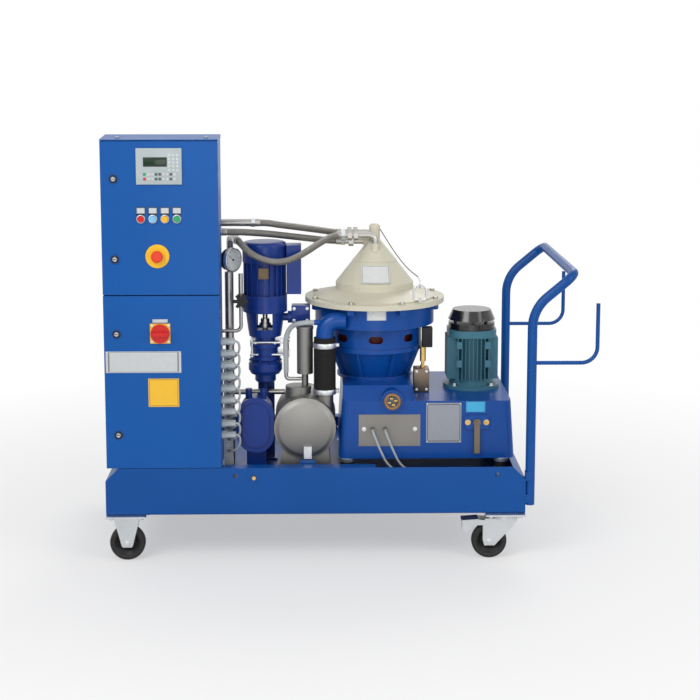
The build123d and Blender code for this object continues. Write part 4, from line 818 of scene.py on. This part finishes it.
def casters():
    """Each wheel: a rubber tyre on a dark rim with a dished disc, a hub and its nuts."""
    tyre = [(45, -16), (49, -18), (57, -18), (61, -15), (62.5, -9), (62.5, 9), (61, 15), (57, 18), (49, 18),
            (45, 16)]
    rim = [(6.1, -20), (15, -20), (16, -15), (30, -6), (40, -12), (44, -16), (45.2, -16), (45.2, 16),
           (44, 16), (40, 12), (30, 6), (16, 15), (15, 20), (6.1, 20)]
    fork_half = 0.0245
    for name in ("front_left", "rear_left", "front_right", "rear_right"):
        wheel = name + "_wheel"
        low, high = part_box(wheel)
        centre = (low + high) / 2
        tread = lathe(name + "_tyre", tyre, centre, TO_FRONT, TREAD, WHEEL_STEPS, wheel)
        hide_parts(wheel)
        slotted(lathe(name + "_rim", rim, centre, TO_FRONT, BLACK, WHEEL_STEPS, wheel))
        places = [centre + Vector((0, side * fork_half, 0)) for side in (-1, 1)]
        nuts = SCREWS.make(name + "_axle_nuts", seeds_at(places, [TO_FRONT, TO_BACK]), ZINC,
                           Radius=0.009, Height=0.006, Corners=6)
        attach(nuts, name + "_fork" if "right" in name else "chassis")


def panel_keys(left, top, face):
    """The keypad: a block of pale keys, two rows of pale and dark ones, and a green and a red one."""
    def grid(first_x, first_z, columns, rows, across, down):
        """Places row by row, from the top left one."""
        return [(first_x + i * across, first_z - j * down) for j in range(rows) for i in range(columns)]

    start_x, start_z = left + 29, top - 89
    keys = {KEY_PALE: grid(left + 114, top - 24, 3, 5, 13.5, 12.5), KEY_DARK: [],
            GREEN: [(start_x, start_z)], RED: [(start_x, start_z - 16)]}
    columns, dark_columns = 8, (2, 3, 6)
    for i, place in enumerate(grid(left + 44, start_z, columns, 2, 12.5, 16)):
        keys[KEY_DARK if i % columns in dark_columns else KEY_PALE].append(place)
    for finish, places in keys.items():
        spots = [at(x, face, z) for x, z in places]
        row_of(KEYS, "keys_" + finish.name, spots, TO_FRONT, finish, "upper_door",
               Width=0.0088, Tall=0.0088, Thick=0.0014)


def operator_panel():
    """The silver keypad panel with its display and keys, the collars, the legends and the stop's plate."""
    x, z, width, tall = PANEL
    left, right = x - width / 2, x + width / 2
    bottom, top = z - tall / 2, z + tall / 2
    face = FRONT - 6
    door = "upper_door"
    case = rounded_box("panel_case", at(left, face, bottom), at(right, FRONT, top), 0.0018,
                       PANEL_SILVER, door)
    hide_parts("operator_panel")
    inset, depth = 9, 38
    rounded_box("panel_body", at(left + inset, FRONT + 0.1, bottom + inset),
                at(right - inset, FRONT + depth, top - inset), 0.001, BLACK, door)
    glass_left, glass_right, glass_low, glass_high, bezel = left + 28, left + 103, top - 60, top - 34, 3
    rounded_box("display_bezel", at(glass_left - bezel, face - 0.4, glass_low - bezel),
                at(glass_right + bezel, face + 1, glass_high + bezel), 0.0004, BLACK, door)
    rounded_box("display_glass", at(glass_left, face - 0.7, glass_low), at(glass_right, face, glass_high),
                0.0002, DISPLAY, door)
    panel_keys(left, top, face)
    collar = [(11.4, 0), (15.5, 0), (15.5, 3), (14.2, 7.4), (12.8, 8), (11.4, 7.4)]
    holder_half, holder_low, holder_high = 15, BUTTON_Z + 14.5, BUTTON_Z + 40
    legend_half = 13.5
    for name, place in BUTTON_X.items():
        ring = lathe(name + "_collar", collar, at(place, FRONT, BUTTON_Z), TO_FRONT, ZINC, 40, door)
        slotted(ring)
        rounded_box(name + "_holder", at(place - holder_half, FRONT - 2, holder_low),
                    at(place + holder_half, FRONT, holder_high), 0.0006, BLACK, door)
        front_plate(name + "_legend", (place - legend_half, place + legend_half),
                    (BUTTON_Z + 19, BUTTON_Z + 38), FRONT - 2, 0.5, PLATE_SILVER, door)
    ring = [(11.5, 0), (41, 0), (41, 1.2), (39.8, 2), (28.5, 2), (27, 2), (27, 5), (26, 6), (11.5, 6)]
    plate = lathe("stop_plate", ring, at(STOP[0], FRONT, STOP[1]), TO_FRONT, YELLOW, 64, door)
    slotted(plate)


def door_trim():
    """The locks' rims and inserts, the blank plates, the switch's screws and the roof's plugs."""
    rim = [(9.2, 0), (16, 0), (16, 1.6), (14.5, 3.2), (10.5, 3.2), (9.2, 2)]
    insert = [(0, 0), (7.2, 0), (7.6, 0.6), (7.2, 1.2), (5.6, 1.2), (5.2, 0.4), (2.4, 0.4), (2.2, 1.4),
              (0, 1.6)]
    bit_half, bit_tall = 5.5, 1.1
    for door, heights in LOCK_Z.items():
        for place, z in zip(("bottom", "top"), heights):
            name = door.split("_")[0] + "_" + place + "_lock"
            lathe(name + "_rim", rim, at(LOCK_X, FRONT, z), TO_FRONT, BLACK, 40, door)
            lathe(name + "_insert", insert, at(LOCK_X, FRONT - 5, z), TO_FRONT, TURNED, 32, name)
            rounded_box(name + "_bit", at(LOCK_X - bit_half, FRONT - 7, z - bit_tall),
                        at(LOCK_X + bit_half, FRONT - 5.2, z + bit_tall), 0.0004, BLACK, name)
    x, z = SWITCH
    door = "lower_door"
    front_plate("lower_door_strip", (DOOR_LEFT + 5, -466), (681, 756), FRONT, 0.8, PLATE_SILVER, door)
    front_plate("lower_door_square", (-581, -475), (560, 660), FRONT, 0.6, PLATE_YELLOW, door)
    front_plate("switch_legend", (x - 26, x + 26), (z + 38, z + 50), FRONT, 0.6, PLATE_SILVER, door)
    corners = [(x + dx, FRONT - 3, z + dz) for dx in (-28, 28) for dz in (-28, 28)]
    screws("switch_screws", corners, TO_FRONT, ZINC, 3.0, 1.6, ROUND, door)
    plugs = [(-678.0, -345.0, ROOF_Z), (-374.0, -345.0, ROOF_Z)]
    screws("roof_plugs", plugs, UP, LIGHT_GREY, 7.0, 4.0, ROUND)


def cord_along(name, points, radius, finish, sides, body="chassis"):
    """A round cord, cable or hose along the spline of these points."""
    path = smooth_path(points, 14)
    piece = round_bar(name, path, radius, finish, sides, body)
    slotted(piece)
    return piece, path


def hose_run(name, points):
    """A braided hose between two crimped ferrules with hexagon union nuts."""
    hose, path = cord_along(name, points, 12, BRAID, 32)
    ferrule_length = 34
    ferrule = [(12.4, 0), (13.4, 1), (13.6, 30), (12.8, 33), (11, ferrule_length), (11, 0)]
    nut = [(12.6, 18), (16.5, 19), (16.5, 33), (12.6, ferrule_length)]
    for end, (place, inner) in enumerate(((path[0], path[3]), (path[-1], path[-4]))):
        way = (place - inner).normalized()
        start = place - way * (ferrule_length / 1000)
        lathe(f"{name}_ferrule_{end}", ferrule, start, way, PIPE_STEEL, 28)
        lathe(f"{name}_nut_{end}", nut, start, way, ZINC, 6)
        crimps = [start + way * step / 1000 for step in (6, 12)]
        row_of(RIBS, f"{name}_crimps_{end}", crimps, way, PIPE_STEEL, Radius=0.0134, Bar=0.0007, Sides=28)
    return hose


def hoses():
    """The three braided hoses on the hood."""
    front, back, side = -90.0, -8.0, -50.0
    first = hose_run("hose_over", [
        (-232, -150, 1175), (-180, -150, 1175), (-133, -140, 1166), (-33, -88, 1147), (30, -30, 1131),
        (72, back, 1122), (108, back, 1122)])
    hose_run("hose_middle", [
        (-348, -200, 1148), (-300, -200, 1148), (-245, -190, 1145), (-164, -165, 1136), (-99, -130, 1124),
        (-2, -76, 1106), (58, side, 1096), (108, side, 1096)])
    hose_run("hose_slack", [
        (-285, -195, 1120), (-274, -228.9, 1120), (-226, -262, 1072), (-150, -262, 1044), (-90, -250, 1051),
        (-34, -205, 1075), (24, -140, 1106), (70, front, 1122), (108, front, 1122)])
    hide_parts("braided_hoses")


def sludge_hose():
    """The black sludge hose with its wire coil and its two clamps."""
    low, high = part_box("sludge_hose")
    x, y = SLUDGE_HOSE
    foot = at(x, y, low.z * 1000)
    tall = (high.z - low.z) * 1000
    profile = [(0, 0), (38.4, 0), (39, 0.5), (39, tall - 0.5), (38.4, tall), (0, tall)]
    sleeve = lathe("sludge_sleeve", profile, foot, UP, RUBBER, WHEEL_STEPS)
    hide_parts("sludge_hose")
    coil_start, coil_pitch = 8, 5.2
    count = int((tall - 14) / coil_pitch)
    steps = [foot + Vector((0, 0, (coil_start + i * coil_pitch) / 1000)) for i in range(count)]
    row_of(RIBS, "sludge_coils", steps, UP, RUBBER, Radius=0.0388, Bar=0.0011, Sides=WHEEL_STEPS)
    band = [(39.9, -9), (41.5, -9), (41.8, -8.4), (41.8, 8.4), (41.5, 9), (39.9, 9)]
    for name, z in (("low", 577), ("high", 745)):
        ring = lathe("clamp_band_" + name, band, at(x, y, z), UP, ZINC, WHEEL_STEPS)
        slotted(ring)
        rounded_box("clamp_lug_" + name, at(x + 40.5, y - 9, z - 6), at(x + 51.5, y + 11, z + 6),
                    0.001, ZINC)
        screws("clamp_screw_" + name, [(x + 46, y - 9, z)], TO_FRONT, ZINC, 3.4, 1.6)


def cables():
    """The cables from the glands down to their duct, the sensors' leads and the drain tube."""
    x, y = GLAND_END
    for i, z in enumerate(GLAND_Z):
        route = [(x, y, z), (x + 16, y, z), (x + 14, y + 14, z - 50), (DUCT_X, y + 30, z - 74),
                 (DUCT_X, DUCT_Y, z - 74)]
        cord_along(f"gland_cable_{i}", route, 4, CABLE, 14)
    for i, x in enumerate(SENSOR_X):
        route = [(x, -326, 451), (x, -342, 451), (x + 24, -340, 389), (x + 58, -330, 316),
                 (x + 104, -322, 294)]
        cord_along(f"sensor_lead_{i}", route, 4, CABLE, 14)
    route = [(-107.5, -200, 638), (-107.5, -200, 700), (-110, -200, 760), (-92, -204, 806),
             (-52, -235, 826), (-5.5, -235, 826)]
    cord_along("drain_tube", route, 9, CABLE, 20)
    half, depth, head_gap = 16, 18, 60
    low = at(DUCT_X - half, DUCT_Y, DECK)
    high = at(DUCT_X + half, DUCT_Y + depth, GLAND_Z[-1] - head_gap)
    duct = rounded_box("cable_duct", low, high, 0.0012, LIGHT_GREY)
    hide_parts("grey_cables")
    slits = [at(DUCT_X, DUCT_Y, z) for z in range(340, 700, 18)]
    row_of(KEYS, "duct_slits", slits, TO_FRONT, GEAR_GREY, Width=0.026, Tall=0.0035, Thick=0.0004)


def gauge():
    """The pressure gauge: its case, bezel and face with plain marks and a needle."""
    turn = math.radians(54)
    way = Vector((math.sin(turn), -math.cos(turn), 0))
    centre = at(-301.5, -215, 1050)
    case = [(0, -20), (36, -20), (38, -17), (38, 0), (42, 0.6), (42, 10), (0, 10)]
    body = lathe("gauge_case", case, centre, way, BLACK, WHEEL_STEPS)
    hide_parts("valve_gear")
    bezel = [(38, 9), (42, 0.8), (44, 2), (44, 14), (42.5, 16), (38.6, 16), (38, 14)]
    slotted(lathe("gauge_bezel", bezel, centre, way, ZINC, WHEEL_STEPS))
    lathe("gauge_face", [(0, 10), (38.2, 10), (38.2, 10.8), (0, 10.8)], centre, way, KEY_PALE, 48)
    side = way.cross(Vector(UP)).normalized()
    front = centre + way * 0.0112
    mark_radius, mark_count, first_mark, mark_step = 0.031, 11, -45, 27
    marks = []
    for i in range(mark_count):
        angle = math.radians(first_mark + mark_step * i)
        marks.append(front + (side * math.cos(angle) + Vector(UP) * math.sin(angle)) * mark_radius)
    row_of(KEYS, "gauge_ticks", marks, way, BLACK, Width=0.0022, Tall=0.0022, Thick=0.0006)
    tip = front + (side * 0.8 + Vector(UP) * 0.6) * 0.027
    needle = [front, (front + tip) / 2, tip]
    shape_from("gauge_needle", BLACK, "chassis", lambda work: add_tube(work, needle, 0.0009, 8))
    lathe("gauge_hub", [(0, 10.8), (4, 10.8), (3, 13), (0, 13)], centre, way, BLACK, 20)


def valves():
    """The regulating valve, the feed valve and the operating-water valve."""
    body = [(0, -22), (9, -22), (13, -18), (13, -9), (10, -5), (10, 5), (13, 9), (13, 18), (9, 22), (0, 22)]
    slotted(lathe("regulator_body", body, at(*REGULATOR), UP, TAUPE, 32))
    bonnet = [(0, 8), (10, 8), (10, 15), (8, 17), (8, 26), (0, 26)]
    lathe("regulator_bonnet", bonnet, at(*REGULATOR), TO_FRONT, TAUPE, 6)
    block = rounded_box("feed_valve_block", at(-88, -170, 812), at(-21, -110, 875), 0.003, PUMP_BLUE)
    slotted(block)
    port = [(0, 0), (22, 0), (22, 13.6), (0, 13.6)]
    lathe("feed_port", port, at(-101.5, -150, 832), TO_RIGHT, PUMP_BLUE, 40)
    corners = [(x, -170, z) for x in (-78, -31) for z in (822, 865)]
    screws("feed_valve_screws", corners, TO_FRONT, ZINC, 4.2, 4.0)
    block = rounded_box("water_valve_block", at(356, -160, 553), at(412, -100, 640), 0.003, TAUPE)
    slotted(block)
    neck = [(0, 640), (10, 640), (10, 648), (6, 650), (6, 662), (11, 663), (11, 716), (0, 716)]
    slotted(lathe("water_valve_neck", neck, at(390, -130, 0), UP, BRASS, 32))
    head = rounded_box("water_valve_head", at(386, -146, 716), at(424, -112, 790), 0.0025, BLACK)
    slotted(head)
    corners = [(x, -160, z) for z in (563, 630) for x in (366, 402)]
    screws("water_valve_screws", corners, TO_FRONT, ZINC, 3.6, 3.0)


def hood_hook():
    """The thin lanyard from the hood's knob and its hook through the lifting ring."""
    x, y, z = RING_TOP
    end = (x - 7, y, z + 30)
    loop = [end, (x - 5, y, z + 24), (x, y, z + 18), (x, y - 10, z + 10), (x, y - 10, z - 10),
            (x, y + 10, z - 10), (x, y + 10, z + 3)]
    hook = round_bar("lanyard_hook", smooth_path(loop, 10), 2.4, ZINC, 12, "lifting_ring")
    slotted(hook)
    line = [(235, -64, 1140), (262, -104, 1098), (300, -150, 1044), (336, -205, 1006), end]
    lanyard, path = cord_along("hood_lanyard", line, 1.6, BLACK, 10, None)
    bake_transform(lanyard)


def sight_glass_trim():
    """The sight glass's ring and the vanes behind it."""
    low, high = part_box("sight_glass")
    centre = Vector(((low.x + high.x) / 2, low.y, (low.z + high.z) / 2))
    ring = [(20, 0), (29, 0), (30, -1.5), (30, 2.5), (28, 4.5), (22, 4.5), (20, 2.5)]
    lathe("sight_ring", ring, centre + Vector((0, 0.003, 0)), TO_FRONT, BRONZE, 48)
    reach, depth = 0.012, 0.001
    angles = (0.3, 1.87, 3.44, 5.0)
    spokes = [centre + Vector((reach * math.cos(a), depth, reach * math.sin(a))) for a in angles]
    row_of(KEYS, "sight_vanes", spokes, TO_FRONT, BRASS, Width=0.012, Tall=0.005, Thick=0.0015)


def separator_trim():
    """The hood's lip, the blank plates, the cover's and the brake's screws, and the cups of the feet."""
    wrapped_plate("hood_plate", (139.5, 89.0), (958, 1016), 54)
    row_of(RIBS, "hood_lip", [at(BOWL_X, BOWL_Y, HOOD_STEP)], UP, HOOD_GREY,
           Radius=0.0802, Bar=0.0019, Sides=72)
    wrapped_plate("casing_plate", (218.1, 218.1), (838, 871), 34)
    front_plate("base_plate", (392, 517), (401, 546), BASE_FRONT, 1.0, PLATE_STEEL)
    front_plate("sky_plate", (534, 602), (512, 550), BASE_FRONT, 0.6, PLATE_SKY)
    rivets = [(x, BASE_FRONT - 1, z) for x in (396, 513) for z in (405, 542)]
    screws("base_plate_rivets", rivets, TO_FRONT, ZINC, 1.8, 1.0, 14)
    corners = [(x, BASE_FRONT, 451) for x in (171, 352)]
    screws("cover_screws", corners, TO_FRONT, ZINC, 5.5, 5.0)
    sight_glass_trim()
    # Flush with the pad, because the brake lever passes over them as it turns
    places = [(x, BASE_FRONT - 8, 476) for x in (540, 606)]
    screws("brake_screws", places, TO_FRONT, BRASS, 7.0, 0.08, 18)
    cup = [(24.2, 0), (31, 0), (31, 3), (27, 5), (26, 15), (24.2, 15)]
    for i, (x, y) in enumerate([(x, y) for x in FEET_X for y in FEET_Y]):
        lathe(f"foot_cup_{i}", cup, at(x, y, DECK), UP, ZINC, 36)
        lathe(f"foot_cap_{i}", cup, at(x, y, BASE_LOW), DOWN, ZINC, 36)


def on_circle(x, y, z, radius, angles):
    """Points on a level circle."""
    return [(x + radius * math.cos(angle), y + radius * math.sin(angle), z) for angle in angles]


def motor_trim():
    """The flange bolts of the drive motor."""
    quarters = [math.radians(45 + 90 * i) for i in range(4)]
    places = on_circle(MOTOR_X, BOWL_Y, 567, 95, quarters)
    screws("motor_bolts", places, UP, ZINC, 7.0, 7.0)


def pump_trim():
    """The feed pump's bolts, its two flange plates on their tie rods and its blank plate."""
    x, y = PUMP
    dome_bolts = 10
    turns = [2 * math.pi * i / dome_bolts for i in range(dome_bolts)]
    screws("pump_dome_bolts", on_circle(x, y, 672, 55, turns), UP, PUMP_BLUE, 4.0, 5.0)
    screws("pump_plate_bolts", on_circle(x, y, 739, 50, (0.8, 2.36, 3.93, 5.5)), UP, ZINC, 5.0, 6.0)
    front_plate("pump_plate", (x - 20, x + 16), (981, 1020), PUMP_FACE, 1.0, PLATE_BRONZE)
    rod_low, rod_high, thickness = 703, 741, 6
    for name, low in (("lower", rod_low - thickness), ("upper", rod_high)):
        corner = at(x + 88, y + 55, low + thickness)
        flange = rounded_box(f"pump_flange_{name}", at(x - 54, y - 39, low), corner, 0.0008, ZINC)
        slotted(flange)
    corners = [(x + dx, y + dy) for dx in (-47, 81) for dy in (-32, 48)]
    for i, (px, py) in enumerate(corners):
        rod = [(px, py, rod_low), (px, py, (rod_low + rod_high) / 2), (px, py, rod_high)]
        round_bar(f"pump_rod_{i}", smooth_path(rod, 8), 4.0, ZINC, 14)
    nuts = [(px, py, rod_high + thickness) for px, py in corners]
    screws("pump_rod_nuts", nuts, UP, ZINC, 6.0, 5.0)
    heads = [(px, py, rod_low - thickness) for px, py in corners]
    screws("pump_rod_heads", heads, DOWN, ZINC, 6.0, 5.0)


def tank_trim():
    """The tank's weld beads, and the blue bracket of its latch."""
    x, z, radius, front = TANK
    ends = [at(x, front + 12, z), at(x, -62, z)]
    row_of(RIBS, "tank_bead", ends, TO_BACK, TANK_STEEL,
           Radius=(radius - 0.2) / 1000, Bar=0.0018, Sides=72)
    face = front - 12
    bracket = rounded_box("latch_bracket", at(-57, face, DECK), at(-2, front - 1, 347), 0.001, TRAY_BLUE)
    slotted(bracket)
    screws("latch_screws", [(x, face, 300) for x in (-48, -11)], TO_FRONT, ZINC, 4.0, 3.0)


stage()
dress_cad()
casters()
operator_panel()
door_trim()
hoses()
sludge_hose()
cables()
gauge()
valves()
hood_hook()
separator_trim()
motor_trim()
pump_trim()
tank_trim()

bpy.context.scene.view_settings.view_transform = "Standard"
